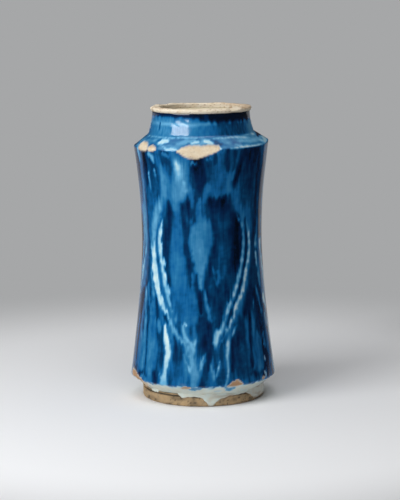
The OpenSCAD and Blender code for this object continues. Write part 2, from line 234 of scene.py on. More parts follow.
BLOOM = strokes(
    (48, 44, 2.4, (0, 180, 8), (-0.5, 170, 20), (-1.5, 159, 22), (-2, 148, 16.5), (-2, 136, 11),
     (-2, 126, 8), (-2, 115, 4)),
    (56, 60, 2.5, (6, 174, 4), (6.5, 161, 6), (5.5, 148, 5)),
    (56, 36, 1.4, (-1.5, 200, 2), (-1.5, 186, 2.5), (-1, 170, 3), (-1, 150, 3), (-1, 130, 2)),
    (36, 30, 0.8, (-1.8, 124, 2), (-1.6, 113, 1)),
    (94, 90, 1.2, (-2, 113, 2), (-2, 104, 3.5), (-1.5, 95, 3.5), (-1, 86, 4)),
    (84, 84, 1, (-5, 128, 2), (-5, 118, 2.5), (-4, 109, 2)),
    (88, 82, 1.2, (3, 120, 2), (4, 112, 3), (7, 104, 3), (9, 96, 2)),
    (56, 62, 0.8, (10, 133, 1.2), (12, 124, 2), (15, 113, 1.5)),
    (64, 66, 0.8, (13, 132, 1), (17, 122, 1.2), (20, 126, 1)),
    (36, 62, 1.2, (2, 112, 1.2), (3, 103, 2.4), (5, 92, 3), (7, 82, 2.5)),
    (84, 80, 3, (0, 86, 4), (0.4, 76, 12), (0.4, 62, 15), (0, 51, 9)),
    (90, 86, 2, (6, 80, 5), (6, 70, 7), (5.5, 54, 7), (4, 40, 4)),
)

CROWN_LIGHTS_AND_GLINTS = strokes(
    (30, 46, 4, (-22, 233, 5), (-19, 226, 10), (-20, 214, 14), (-20, 206, 15), (-24, 198, 8),
     (-25, 189, 5)),
    (52, 56, 2, (-10, 209, 6), (-8.6, 200, 4.6), (-10.6, 190, 3), (-9.6, 178, 3.4)),
    (56, 58, 2, (-3.5, 196, 2.4), (-3, 190, 4), (-3, 182, 4)),
    (54, 60, 3, (6, 210, 8), (1.6, 198, 4), (0.8, 184, 3.5)),
    (8, 26, 2.2, (-21.5, 231, 3), (-20.5, 226, 5), (-19.5, 219, 3.5)),
    (22, 34, 2.2, (-16, 214, 3), (-14.5, 206, 4)),
    (46, 30, 3, (-37, 229, 3), (-36, 216, 5), (-36.5, 204, 5), (-41, 195, 7), (-45.5, 186, 10),
     (-50, 174, 9), (-53, 160, 4)),
    (60, 62, 3, (29, 209, 3.5), (31.5, 197, 5), (35, 187, 4)),
    (78, 56, 4, (45, 196, 8), (48, 185, 10), (48.5, 174, 7)),
    # These two pale dashes are painted highlights: glints of the light on the glaze's drip ridges
    (16, 34, 1, (-54, 222, 1.6), (-53.5, 214, 2.2), (-53, 206, 1)),
    (10, 16, 0.9, (-45.5, 226, 1.6), (-45, 221, 1.8)),
    (36, 40, 1.5, (-50, 240, 4), (-45, 238, 2.5)),
    (40, 50, 1.2, (-34, 241, 2.5), (-28, 239.5, 2.5)),
    # A painted highlight just below the big chip on the shoulder
    (16, 20, 1.0, (-8.5, 233.8, 2), (-4.5, 233, 2.2)),
    (45, 50, 1.0, (5, 236, 2), (8, 236.6, 2)),
    (45, 50, 1.2, (14, 242.6, 2.5), (20, 243, 2.5)),
)

WHITE_LINES = strokes(
    (86, 82, 1.5, (44, 178, 3), (46, 160, 4), (45.5, 146, 4), (41.5, 132, 4.4), (37, 117, 4),
     (32, 104, 4), (26, 92, 4), (21, 80, 3)),
    (40, 14, 1.2, (-42, 181, 2), (-46, 170, 2.5), (-50, 158, 3), (-52, 149, 4.5)),
    Stroke(2, 6, 1.1, ((-52.2, 149, 6.5), (-51.2, 140, 8.2), (-49.8, 131, 9), (-47.8, 122, 8.5),
           (-45.4, 113, 8), (-42.4, 105, 7.5), (-38.7, 98, 6.5), (-34.7, 91, 5), (-31, 85, 3)), 11),
    Stroke(0, 24, 1.0, ((-39.8, 180, 1.8), (-42, 171, 5.5), (-44, 161, 6), (-43.6, 150, 4.6),
           (-42, 143, 4.4), (-40.6, 137, 4.8), (-39.5, 131, 4.4), (-37.5, 124, 5.5), (-36.3, 118, 4.5),
           (-34, 112, 5.5), (-32.7, 106, 4), (-30.5, 100, 3.5), (-28, 92, 2)), 9.5),
    (6, 20, 0.7, (-41.6, 154, 2.8), (-40.8, 149, 1.5), (-40.4, 146, 0.6)),
    (6, 20, 0.7, (-38.8, 142, 3), (-37.2, 137, 1.8), (-36.8, 134, 0.6)),
    (6, 20, 0.7, (-37, 128, 2.6), (-35, 123.5, 1.8), (-34.2, 120, 0.6)),
    (10, 24, 0.7, (-33, 115, 3), (-31, 110, 1.8), (-30.4, 106, 0.6)),
    (66, 62, 0.9, (-39, 181, 1.5), (-45, 172, 2.5), (-48, 160, 2.5), (-47.5, 148, 3), (-46, 138, 3),
     (-43.5, 128, 3.5), (-41, 118, 3.5), (-38, 108, 3.5), (-34, 99, 3), (-30, 92, 2.5)),
    Stroke(38, 18, 1.0, ((33.5, 183, 0.8), (36, 179.5, 1.5), (39.5, 174.5, 1.6), (42.2, 168, 2.6),
           (42.6, 158, 3.4), (41.6, 148, 3.8), (39.6, 138, 3.8), (37.6, 131, 3.6), (35.5, 125, 4),
           (33, 117, 3.8), (30.5, 110, 3.8), (28, 103, 3.4), (24.5, 98, 3.8), (22, 91, 3.4),
           (20, 85, 2.5)), 8.5),
    (12, 20, 1.2, (18, 82, 2), (15.4, 76, 3), (12, 70.5, 5), (10.6, 65, 5), (10.2, 59, 1.8)),
    Stroke(26, 13, 1.0, ((46, 177, 1.2), (49.5, 164, 2.6), (50.3, 150, 4), (48, 140, 4.4),
           (45.5, 133, 3.4), (43.8, 126, 4.6), (41.8, 119, 4.2), (38.6, 111, 4), (36, 105, 4.4),
           (32, 98, 3), (29.5, 92, 3.4), (27.5, 86, 2.4)), 9),
    (14, 24, 0.9, (26, 84, 2.2), (24, 79, 3), (21.5, 74, 2.4)),
    (46, 52, 0.8, (20, 71, 1.2), (15.5, 64, 1.2), (13, 57, 1)),
)

LOW_RUNS = strokes(
    (0, 10, 1.0, (-34.8, 78, 2.5), (-34, 72, 4), (-33, 66, 7), (-30.7, 60, 6), (-30.3, 52, 6.6),
     (-31, 46, 6), (-31.5, 41, 5)),
    (8, 32, 1.0, (-31.8, 40, 3), (-32.3, 33, 4.5), (-33, 27, 8), (-33, 21, 9)),
    (20, 20, 0.8, (-37, 33, 1), (-35.5, 29, 2)),
    (90, 86, 1.2, (-34.5, 87, 4), (-33, 82, 4)),
    (85, 80, 2, (-37.5, 76, 2), (-36.5, 60, 3), (-36, 40, 4)),
    (34, 48, 1.2, (-42, 82, 3.4), (-40, 74, 4.4)),
    (50, 55, 1.5, (-28, 71, 2), (-26.5, 63, 3)),
    (54, 54, 1.8, (-50, 98, 2), (-49, 88, 2)),
    (34, 34, 1.0, (-23, 92, 1.5), (-24.5, 85, 3)),
    (50, 50, 0.8, (-3, 91, 1), (-0.5, 89, 1.5)),
    (26, 40, 1.4, (-29, 84, 2.5), (-27, 77, 4), (-22, 71, 4.6), (-18.3, 66, 3), (-14.5, 60, 3),
     (-10, 53, 5), (-8, 45, 7), (-7, 36, 8), (-7.5, 27, 7), (-8, 19, 7)),
    (22, 30, 1.4, (-17.8, 80, 2.6), (-17.2, 76, 3), (-15.6, 70, 2.8), (-11, 63, 3.2), (-8, 55, 4)),
    (5, 8, 0.8, (-17.5, 80.5, 2), (-15, 80.5, 2)),
    (24, 24, 1.0, (-6.5, 66, 2), (-7, 59, 2)),
    (30, 16, 0.8, (-16, 51, 1.2), (-14.5, 46, 2.4), (-12, 41, 1.8), (-10, 36, 1)),
    (24, 34, 0.9, (1.5, 53, 0.8), (-0.5, 47, 2.6), (-2.5, 38, 3)),
    (10, 30, 0.8, (13.5, 45, 1), (12.3, 40, 2), (10.5, 33, 1.4)),
    (46, 36, 1.0, (6, 42, 1.2), (8, 35, 3), (8.5, 28, 2)),
    (36, 22, 0.9, (29, 77, 1), (26.5, 71, 2.4)),
    (22, 26, 1.2, (22.6, 67, 1.5), (21.6, 61, 3.5), (20.2, 53, 4), (20.4, 44, 2.2), (20.2, 34, 1.9),
     (18.5, 26, 2), (17, 20, 1.5)),
    (93, 88, 2, (26, 65, 4), (24.8, 48, 6), (24.5, 38, 5)),
    (90, 92, 1.5, (43.5, 38, 4), (44, 60, 4), (45.5, 85, 3.5), (47, 103, 5), (50, 110, 6),
     (54, 104, 4.5), (57, 90, 4)),
    (100, 94, 0.9, (61, 60, 2), (61, 40, 2.5), (58, 28, 2.5), (54, 24, 2)),
    (10, 10, 0.6, (62, 55, 1), (62.8, 53, 1)),
    (10, 10, 0.6, (61, 43, 1), (62, 41, 1)),
    (12, 12, 0.6, (60, 32, 1), (61.5, 31, 1)),
    (30, 44, 1.5, (-63.5, 107, 2.5), (-62.5, 97, 3)),
)

MEDALLION = WASHES + CROWN_DRIPS + CROWN_LIGHTS_AND_GLINTS + PETALS + BLOOM + WHITE_LINES + LOW_RUNS

# Turns of the three medallions; the front one is painted last, over the others' outermost drips
MEDALLION_TURNS = (116, 244, 0)
BASE_TONE = 0.62

# Flecks and painted highlights on the shoulder, drips on the neck and smears over the skirt edge, once round
# the jar
SHOULDER_FLECKS_AND_HIGHLIGHTS = strokes(
    (4, 10, 0.8, (-44, 249.5, 2), (-40, 251.5, 4), (-35, 252.5, 3.5)),
    (16, 8, 0.8, (-36, 247.5, 1.5), (-31, 245.5, 3), (-22, 245.5, 2)),
    (30, 30, 1.2, (-50.5, 240, 3), (-47, 237, 4), (-45.5, 232, 2)),
    (34, 30, 1.5, (-23, 250, 2.5), (-15, 252, 4), (-6, 253, 2)),
    (12, 12, 0.7, (-9, 250.5, 2), (-3, 252, 2.5)),
    (74, 74, 1.5, (14, 251, 4), (18, 248.5, 4)),
    (5, 10, 0.7, (3, 252.5, 2), (7.5, 251.6, 3.5), (10.5, 250.2, 2.2)),
    (14, 14, 0.7, (14.6, 247.4, 1.5), (16.5, 245, 2)),
    (36, 30, 1.4, (31, 247, 2.5), (36, 245.6, 3.2)),
    # A pale line across the slope's right: painted highlight
    (28, 30, 1.2, (39, 250, 2), (46, 250, 2.6), (58, 249.4, 3.4), (66, 249.4, 3.4)),
    # Pale lines along the neck root, this and the next: painted highlights where the glaze also thins
    (22, 22, 0.7, (12, 254.1, 0.8), (24, 254.1, 1.2), (37, 254.2, 1.5), (46, 254, 1)),
    (22, 26, 0.7, (-26, 255.2, 1), (-15, 255.4, 1.5), (-4, 255.2, 0.9)),
    # A pale line along the shoulder edge: painted highlight, where the glaze also breaks thin over the edge
    (6, 20, 1.0, (25, 244.4, 0.6), (31, 244.4, 1.4), (38, 244.6, 1.6), (54, 244.9, 1.4),
     (66, 245, 0.6)),
    (10, 16, 1.0, (74, 246, 3), (80, 248, 5.5), (87, 248.5, 6), (96, 247.5, 4)),
    (97, 97, 0.8, (74, 252, 1.5), (82, 253, 4), (92, 253, 4.5), (102, 252, 3)),
    # A pale line along the neck root on the left: painted highlight
    (24, 20, 0.8, (-72, 254.5, 1), (-50, 255, 1.2), (-28, 255, 0.8)),
    # A pale streak near the left edge: painted reflection
    (20, 40, 1.5, (-69.5, 244, 3.4), (-67.8, 233, 3.4)),
    (10, 20, 0.8, (104, 250, 2), (113, 249, 3)),
    (15, 10, 0.8, (150, 252, 2), (158, 250, 2.5)),
    (10, 20, 0.8, (196, 249, 2.5), (205, 250, 2)),
    (15, 10, 0.8, (246, 250, 2), (258, 249, 3)),
)

NECK_DRIPS = strokes(
    (90, 84, 1.2, (6, 275, 4), (6, 271, 2.5)),
    (86, 80, 0.8, (-53.5, 268, 1.6), (-53, 261.5, 1.6)),
)

SKIRT_SMEARS = strokes(
    (42, 42, 1.5, (-17, 21, 3), (-9, 19, 5), (-2, 20, 3)),
    (38, 38, 1.5, (18, 20, 3), (22, 17, 5), (26, 19, 3)),
    (6, 10, 0.6, (58.5, 29, 1.6), (60, 27, 2.4), (59.5, 24.5, 1.8)),
    (45, 40, 1.5, (92, 20, 4), (101, 18, 5)),
    (40, 45, 1.5, (176, 20, 4), (188, 18, 5)),
    (45, 40, 1.5, (232, 20, 4), (239, 19, 4)),
)

# Where the glaze has flaked off the edges and the clay shows, once round the jar
FLAKES = [
    [(-19.5, 244, 2), (-15, 243.6, 7.8), (-10, 243, 12), (-3, 243.1, 11.8), (5, 244.8, 9), (11, 245.6, 7),
     (14, 246, 4.5)],
    [(-67.5, 246, 6), (-65, 246, 8), (-58, 246, 8), (-55.5, 245.6, 6)],
    [(-50, 245, 4.4), (-46, 245.3, 5.4), (-43.4, 245.1, 4)],
    [(158, 245, 3), (163, 244, 6), (167, 245, 3)],
    [(-77, 26, 6), (-71, 25, 7.5), (-64, 22.5, 5), (-57, 21, 2.5)],
    [(-88, 15, 6), (-75, 15.5, 7), (-63, 16, 7), (-57, 16.5, 4)],
    [(-18, 19.5, 2), (-14, 20, 3.5), (-11, 20, 2)],
    [(20, 21.5, 2), (24, 23, 5.5), (28, 23.5, 6), (32, 22, 2)],
    [(54, 23.6, 1.8), (57, 23, 2.4)],
    [(137, 22, 3), (141, 22, 6), (145, 23, 3)],
    [(210, 22, 3), (214, 22, 6), (217, 23, 3)],
]

# The bites out of the clay under those flakes: turn, edge radius and height, length, depth and lean
Bite = namedtuple("Bite", "turn edge_r edge_z length depth lean")
SHOULDER_LEAN, SKIRT_LEAN, FLATTEST_BITE = 20, -21, 0.85
BIG_BITE, SMALL_BITE = (37, 3.4), (11, 1.7)
BITES = (
    [Bite(-1, shoulder_r, shoulder_z, *BIG_BITE, SHOULDER_LEAN)]
    + [Bite(turn, shoulder_r, shoulder_z, *SMALL_BITE, SHOULDER_LEAN) for turn in (-62, -47, 163)]
    + [Bite(turn, skirt_r, skirt_z, *SMALL_BITE, SKIRT_LEAN) for turn in (-70, -16, 26, 58, 141, 214)]
)

# How much higher the shoulder stands at a turn, in millimetres
SHOULDER_RISE = [(-180, 0), (0, 0), (36, 1.9), (52, 2.0), (65, 2.3), (76, 3.3), (88, 4.5), (105, 4.2),
                 (125, 2.6), (150, 0.5), (165, 0), (180, 0)]


def smooth_step(low, high, value):
    """0 below low, 1 above high and a smooth rise between them; high may be below low."""
    t = np.clip((value - low) / (high - low), 0, 1)
    return t * t * (3 - 2 * t)


def span(value, start, full, fading, end):
    """1 from full to fading, with a smooth rise from start and a smooth fall to end; 0 elsewhere."""
    return smooth_step(start, full, value) * smooth_step(end, fading, value)


def eased(value, places):
    """A number that passes smoothly through places of (value, number), in rising order."""
    values, numbers = np.array(places).T
    i = np.clip(np.searchsorted(values, value) - 1, 0, len(values) - 2)
    return numbers[i] + (numbers[i + 1] - numbers[i]) * smooth_step(values[i], values[i + 1], value)


def noise_field(points, across, along, seed):
    """Smooth noise of about -1 to 1 at points in millimetres, with its grain drawn out along Z."""
    return np.array([noise.noise((x / across + seed, y / across - seed, z / along)) for x, y, z in points])


def turn_of(points):
    """Turn of points round the axis, in degrees from the front."""
    return np.degrees(np.arctan2(points[:, 0], -points[:, 1]))


def outward(turn):
    """Unit vectors away from the axis at given turns."""
    angle = np.radians(turn)
    return np.stack([np.sin(angle), -np.cos(angle), np.zeros_like(angle)], axis=1)


def rounded(line, corner, radius, steps=5):
    """A line of (r, z) points with an arc of that radius in place of the corner at that index."""
    here = Vector(line[corner])
    back, on = (Vector(line[corner + i]) - here for i in (-1, 1))
    half = back.angle(on) / 2
    reach = radius / math.tan(half)
    centre = here + (back.normalized() + on.normalized()).normalized() * radius / math.sin(half)
    start, end = (here + way.normalized() * reach - centre for way in (back, on))
    arc = [tuple(centre + start.slerp(end, i / steps).normalized() * radius) for i in range(steps + 1)]
    near = [(Vector(point) - here).length <= reach for point in line]
    first = next((i + 1 for i in range(corner - 1, -1, -1) if not near[i]), 0)
    last = next((i for i in range(corner + 1, len(line)) if not near[i]), len(line))
    return line[:first] + arc + line[last:]


def straight(start, end, steps):
    """Points from start up to, but without, end."""
    return [tuple(np.add(start, np.subtract(end, start) * i / steps)) for i in range(steps)]


class Outside:
    """The jar's finished outside in millimetres, as a line of (r, z) points that always climbs."""

    WALL_STEPS = 156
    SLOPE_STEPS = 12
    NECK_STEPS = 22
    NECK_CURVE = 1.5
    FOOT_INSET, LIP_TUCK = 0.9, 0.3

    def __init__(self, shape):
        self.waist_r = shape.waist_r / MM
        self.waist_z = skirt_z + shape.waist_rise / MM
        self.flares = shape.lower_flare, shape.upper_flare
        heights = np.linspace(skirt_z, shoulder_z, self.WALL_STEPS + 1)
        wall = [(float(self.wall_radius(z)), z) for z in heights]
        under = straight((foot_r - self.FOOT_INSET, foot_h), wall[0], self.SLOPE_STEPS)
        slope = straight(wall[-1], (neck_base_r, neck_z), self.SLOPE_STEPS)[1:]
        neck = [(self.neck_radius(shape.neck_top_r / MM, z), z)
                for z in (*np.linspace(neck_z, lip_z, self.NECK_STEPS + 1), lip_z + self.LIP_TUCK)]
        line = under + wall + slope + neck
        line = rounded(line, len(under + wall + slope), shape.root_round / MM)
        line = rounded(line, len(under + wall) - 1, shape.shoulder_round / MM)
        line = rounded(line, len(under), shape.skirt_round / MM)
        self.line = np.array(line)
        along = np.gradient(self.line, axis=0)
        self.normals = np.stack([along[:, 1], -along[:, 0]], axis=1)
        self.normals /= np.linalg.norm(self.normals, axis=1)[:, None]

    def wall_radius(self, z):
        """Radius of the wall between skirt and shoulder."""
        below = np.maximum(self.waist_z - z, 0) / (self.waist_z - skirt_z)
        above = np.maximum(z - self.waist_z, 0) / (shoulder_z - self.waist_z)
        low = (skirt_r - self.waist_r) * below ** self.flares[0]
        high = (shoulder_r - self.waist_r) * above ** self.flares[1]
        return self.waist_r + low + high

    def neck_radius(self, top_r, z):
        """Radius of the neck, which draws in fastest near its root."""
        return top_r + (neck_base_r - top_r) * max((lip_z - z) / (lip_z - neck_z), 0) ** self.NECK_CURVE

    def radius(self, z):
        """Radius of the outside at a height."""
        return np.interp(z, self.line[:, 1], self.line[:, 0])

    def normal(self, turn, z):
        """Outward normals at places on the outside."""
        across = np.interp(z, self.line[:, 1], self.normals[:, 0])
        up = np.interp(z, self.line[:, 1], self.normals[:, 1])
        return outward(turn) * across[:, None] + np.array([0, 0, 1]) * up[:, None]


class Sheet:
    """The outside unrolled to a regular grid of turns and heights, on which the glaze is painted."""

    TURN_STEP = 0.6
    RISE = 0.8
    BEAD_WAIST = 0.5
    BEAD_SHADE = 0.08
    MARGIN = 2
    # How far a ragged edge may stray beyond a stroke's softness
    RAGGED_REACH = 3
    # How far below its end the sheet still has a row to blend with, and the most that a trail holds on
    LAST_BLEND, HOLD_CAP = 1.001, 0.95
    # Spread of a repeated stroke: its drift and places in degrees, heights in millimetres, tone and widths
    DRIFT, TURN_STRAY, HEIGHT_STRAY, TONE_STRAY, WIDTH_STRAY = 1.2, 0.5, 1.5, 0.04, 0.2

    def __init__(self, outside):
        self.outside = outside
        self.turns = np.arange(-180, 180, self.TURN_STEP)
        self.heights = np.arange(foot_h - self.MARGIN, lip_z + self.MARGIN, self.RISE)
        turn, z = np.meshgrid(self.turns, self.heights)
        self.shape = turn.shape
        self.turn, self.z = turn.ravel(), z.ravel()
        self.points = outward(self.turn) * outside.radius(self.z)[:, None]
        self.points[:, 2] = self.z

    def paint(self, tone, table, ragged, sector=0, draw=None):
        """Lays a table of strokes over the tone; draw gives the wander of a repeated sector."""
        local = (self.turn - sector + 180) % 360 - 180
        for stroke in table:
            places, shift = stroke.places, 0.0
            if draw:
                drift = draw.gauss(0, self.DRIFT)
                shift = draw.gauss(0, self.TONE_STRAY)
                places = [(t + drift + draw.gauss(0, self.TURN_STRAY),
                           h + draw.gauss(0, self.HEIGHT_STRAY),
                           w * draw.uniform(1 - self.WIDTH_STRAY, 1 + self.WIDTH_STRAY))
                          for t, h, w in places]
            turns, heights, widths = zip(*places)
            reach = max(widths) / 2 + stroke.soft + self.RAGGED_REACH
            near = ((self.z > min(heights) - reach) & (self.z < max(heights) + reach)
                    & (local > min(turns) - reach) & (local < max(turns) + reach))
            gap, run, whole = self.to_stroke(local[near], self.z[near], places)
            value = (stroke.first + (stroke.last - stroke.first) * run / whole) / FULL_TONE + shift
            if stroke.beads:
                between = 0.5 + 0.5 * np.cos(run / stroke.beads * math.tau)
                gap = gap + self.BEAD_WAIST * between
                value = value + self.BEAD_SHADE * between
            cover = smooth_step(stroke.soft, -stroke.soft, gap + ragged[near])
            tone[near] += (value - tone[near]) * cover

    def to_stroke(self, turn, z, places):
        """Distance to a stroke's edge, below 0 inside it, the run along it to there, and its whole run."""
        around = np.radians(turn) * self.outside.radius(z)
        spots = [(math.radians(t) * float(self.outside.radius(h)), h, w / 2) for t, h, w in places]
        nearest, run, whole = np.full(len(z), np.inf), np.zeros(len(z)), 0.0
        for (x0, z0, w0), (x1, z1, w1) in zip(spots, spots[1:]):
            dx, dz = x1 - x0, z1 - z0
            part = np.clip(((around - x0) * dx + (z - z0) * dz) / (dx * dx + dz * dz), 0, 1)
            gap = np.hypot(around - x0 - part * dx, z - z0 - part * dz) - (w0 + part * (w1 - w0))
            run = np.where(gap < nearest, whole + part * math.hypot(dx, dz), run)
            nearest = np.minimum(gap, nearest)
            whole += math.hypot(dx, dz)
        return nearest, run, whole

    def run_down(self, tone, shift, hold):
        """The tone after firing: each column slips by its own shift, and trails down by its hold."""
        grid = tone.reshape(self.shape)
        rows = np.arange(self.shape[0])[:, None] + shift.reshape(self.shape) / self.RISE
        rows = np.clip(rows, 0, self.shape[0] - self.LAST_BLEND)
        low, columns = rows.astype(int), np.arange(self.shape[1])[None, :]
        part = rows - low
        slipped = grid[low, columns] * (1 - part) + grid[low + 1, columns] * part
        hold = np.clip(hold, 0, self.HOLD_CAP).reshape(self.shape)
        for row in range(self.shape[0] - 2, -1, -1):
            slipped[row] += hold[row] * (slipped[row + 1] - slipped[row])
        return slipped.ravel()

    def at(self, values, turn, z):
        """Values of the sheet at places on the outside."""
        grid = values.reshape(self.shape)
        column = (turn - self.turns[0]) % 360 / self.TURN_STEP
        row = np.clip((z - self.heights[0]) / self.RISE, 0, self.shape[0] - self.LAST_BLEND)
        left, low = column.astype(int), row.astype(int)
        across, up = column - left, row - low
        left %= self.shape[1]
        right = (left + 1) % self.shape[1]
        return ((grid[low, left] * (1 - across) + grid[low, right] * across) * (1 - up)
                + (grid[low + 1, left] * (1 - across) + grid[low + 1, right] * across) * up)


def add_turned(bm, line, steps):
    """Adds a line of (r, z) points in millimetres, turned round the axis: a grid rolled up and closed."""
    made = bmesh.ops.create_grid(bm, x_segments=steps, y_segments=len(line) - 1, size=0.5)
    for vert in made["verts"]:
        angle = (vert.co.x + 0.5) * math.tau
        r, z = line[round((vert.co.y + 0.5) * (len(line) - 1))]
        vert.co = Vector((math.sin(angle) * r, -math.cos(angle) * r, z)) * MM
    bmesh.ops.remove_doubles(bm, verts=made["verts"], dist=0.001 * MM)


def coordinates(mesh):
    """Vertices of a mesh as an array, in millimetres."""
    flat = np.empty(len(mesh.vertices) * 3)
    mesh.vertices.foreach_get("co", flat)
    return flat.reshape(-1, 3) / MM


def move_to(mesh, points):
    """Moves a mesh's vertices to points in millimetres."""
    mesh.vertices.foreach_set("co", (points * MM).ravel())
    mesh.update()


def keep_field(mesh, name, values):
    """Keeps one number for each vertex, for the material to read."""
    mesh.attributes.new(name, "FLOAT", "POINT").data.foreach_set("value", values.astype(np.float32))


def finished(bm, name):
    """Makes the bmesh an object of the scene, with its normals outwards and smooth faces."""
    bmesh.ops.recalc_face_normals(bm, faces=bm.faces)
    mesh = bpy.data.meshes.new(name)
    bm.to_mesh(mesh)
    bm.free()
    mesh.shade_smooth()
    piece = bpy.data.objects.new(name, mesh)
    bpy.context.scene.collection.objects.link(piece)
    return piece


def turned_piece(name, line, steps):
    """A new piece turned from a line of (r, z) points, and its vertices in millimetres."""
    bm = bmesh.new()
    add_turned(bm, line, steps)
    piece = finished(bm, name)
    return piece, coordinates(piece.data)


def stand_for(piece, material, slot, *nodes):
    """Gives a finished piece its material, and its place among the frame's nodes."""
    piece.data.materials.append(material)
    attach(piece, BODY)
    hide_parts(*nodes)


# Inputs of a colour mix by index, because their names repeat: share of the second, first and second
SHARE, FIRST, SECOND = 0, 6, 7
# Height of the grains of a bumped surface
GRAIN_HEIGHT = 0.3 * MM


def feed(tree, node, inputs):
    """Gives a node its inputs by name or index, each a value, a socket or a node."""
    for name, value in inputs.items():
        if isinstance(value, bpy.types.Node):
            value = next(socket for socket in value.outputs if socket.enabled)
        if isinstance(value, bpy.types.NodeSocket):
            tree.links.new(value, node.inputs[name])
        else:
            node.inputs[name].default_value = value


def add(tree, kind, inputs=None, stops=None, **settings):
    """Adds a shader node with its settings, its inputs and a ramp's stops."""
    node = tree.nodes.new("ShaderNode" + kind)
    for name, value in settings.items():
        setattr(node, name, value)
    feed(tree, node, inputs or {})
    for i, (place, shade) in enumerate(stops or []):
        ramp = node.color_ramp.elements
        stop = ramp[i] if i < len(ramp) else ramp.new(place)
        stop.position, stop.color = place, shade
    return node


def new_material(name):
    """An empty material with its node tree and the shader that its nodes feed."""
    material = bpy.data.materials.new(name)
    material.use_nodes = True
    tree = material.node_tree
    return material, tree, tree.nodes["Principled BSDF"]


def grain_of(tree, across, along):
    """Noise on the piece's own coordinates, with grains of that many millimetres across and along Z."""
    place = add(tree, "TexCoord").outputs["Object"]
    scale = (1 / (across * MM), 1 / (across * MM), 1 / (along * MM))
    return add(tree, "TexNoise", {"Vector": add(tree, "Mapping", {"Vector": place, "Scale": scale}),
                                  "Scale": 1.0, "Detail": 3.0})


def cobalt_glaze(colours):
    """Fired lead glaze with cobalt run in it: deep, glossy, and drawn into fine vertical streaks.

    Thin cobalt lets the white ground through, thick cobalt pools to navy, and chips show dull clay.
    """
    material, tree, shader = new_material("Cobalt_lead_glaze")
    tone, thin, bare = (add(tree, "Attribute", attribute_name=name).outputs["Fac"]
                        for name in ("tone", "thin", "bare"))
    streaks = add(tree, "MapRange", {"Value": grain_of(tree, 1.6, 18), "To Min": -0.055, "To Max": 0.055})
    blues = add(tree, "ValToRGB", {"Fac": add(tree, "Math", {0: tone, 1: streaks}, operation="ADD")}, stops=[
        (0.0, colours.ground), (0.10, linear("#A9D3E3")), (0.25, colours.pale), (0.40, linear("#4289B6")),
        (0.52, linear("#2674A5")), (0.64, colours.cobalt), (0.76, linear("#033D67")), (0.88, colours.navy),
        (1.0, linear("#010C1E"))])
    cloud = grain_of(tree, 7, 7)
    creams = add(tree, "Mix", {SHARE: cloud, FIRST: colours.cream, SECOND: colours.ground}, data_type="RGBA")
    glaze = add(tree, "Mix", {SHARE: thin, FIRST: blues, SECOND: creams}, data_type="RGBA")
    iron = grain_of(tree, 3.5, 3.5)
    clay = add(tree, "Mix", {SHARE: iron, FIRST: colours.clay, SECOND: colours.ochre}, data_type="RGBA")
    pits = add(tree, "MapRange", {"Value": grain_of(tree, 1.3, 1.3), "From Min": 0.58, "From Max": 0.72,
                                  "To Max": 0.5})
    clay = add(tree, "Mix", {SHARE: pits, FIRST: clay, SECOND: linear("#93805F")}, data_type="RGBA")
    clay = add(tree, "Mix", {SHARE: thin, FIRST: clay, SECOND: linear("#A87C57")}, data_type="RGBA")
    surface = add(tree, "Mix", {SHARE: bare, FIRST: glaze, SECOND: clay}, data_type="RGBA")
    dulled = add(tree, "MapRange", {"Value": bare, "To Min": 0.12, "To Max": 0.82})
    peel = add(tree, "Bump", {"Height": grain_of(tree, 5, 9), "Strength": 0.25, "Distance": GRAIN_HEIGHT})
    feed(tree, shader, {"Base Color": surface, "Roughness": dulled, "Normal": peel,
                        "Specular IOR Level": 0.42})
    return material


def stained(name, main, second, stain, mottle_mm, roughness, grain_mm, depth):
    """A mottled coat with the stain that its piece keeps, over a surface of fine grains; on the foot that
    stain also holds painted shade in its groove.
    """
    material, tree, shader = new_material(name)
    cloud = grain_of(tree, mottle_mm, mottle_mm)
    mottle = add(tree, "Mix", {SHARE: cloud, FIRST: main, SECOND: second}, data_type="RGBA")
    spots = add(tree, "Attribute", attribute_name="stain").outputs["Fac"]
    coat = add(tree, "Mix", {SHARE: spots, FIRST: mottle, SECOND: stain}, data_type="RGBA")
    grains = grain_of(tree, grain_mm, grain_mm)
    rough = add(tree, "Bump", {"Height": grains, "Strength": depth, "Distance": GRAIN_HEIGHT})
    feed(tree, shader, {"Base Color": coat, "Roughness": roughness, "Normal": rough})
    return material


def worn_clay(name, main, second, stain, grit):
    """Bare fired earthenware, worn dull: mottled, with a sandy grit and darker stains."""
    return stained(name, main, second, stain, 6, 0.8, grit, 0.5)


def ground_glaze(name, main, second, stain):
    """White tin-like ground glaze where it ran thin: creamy, glossy and unevenly stained."""
    return stained(name, main, second, stain, 5, 0.2, 3, 0.25)


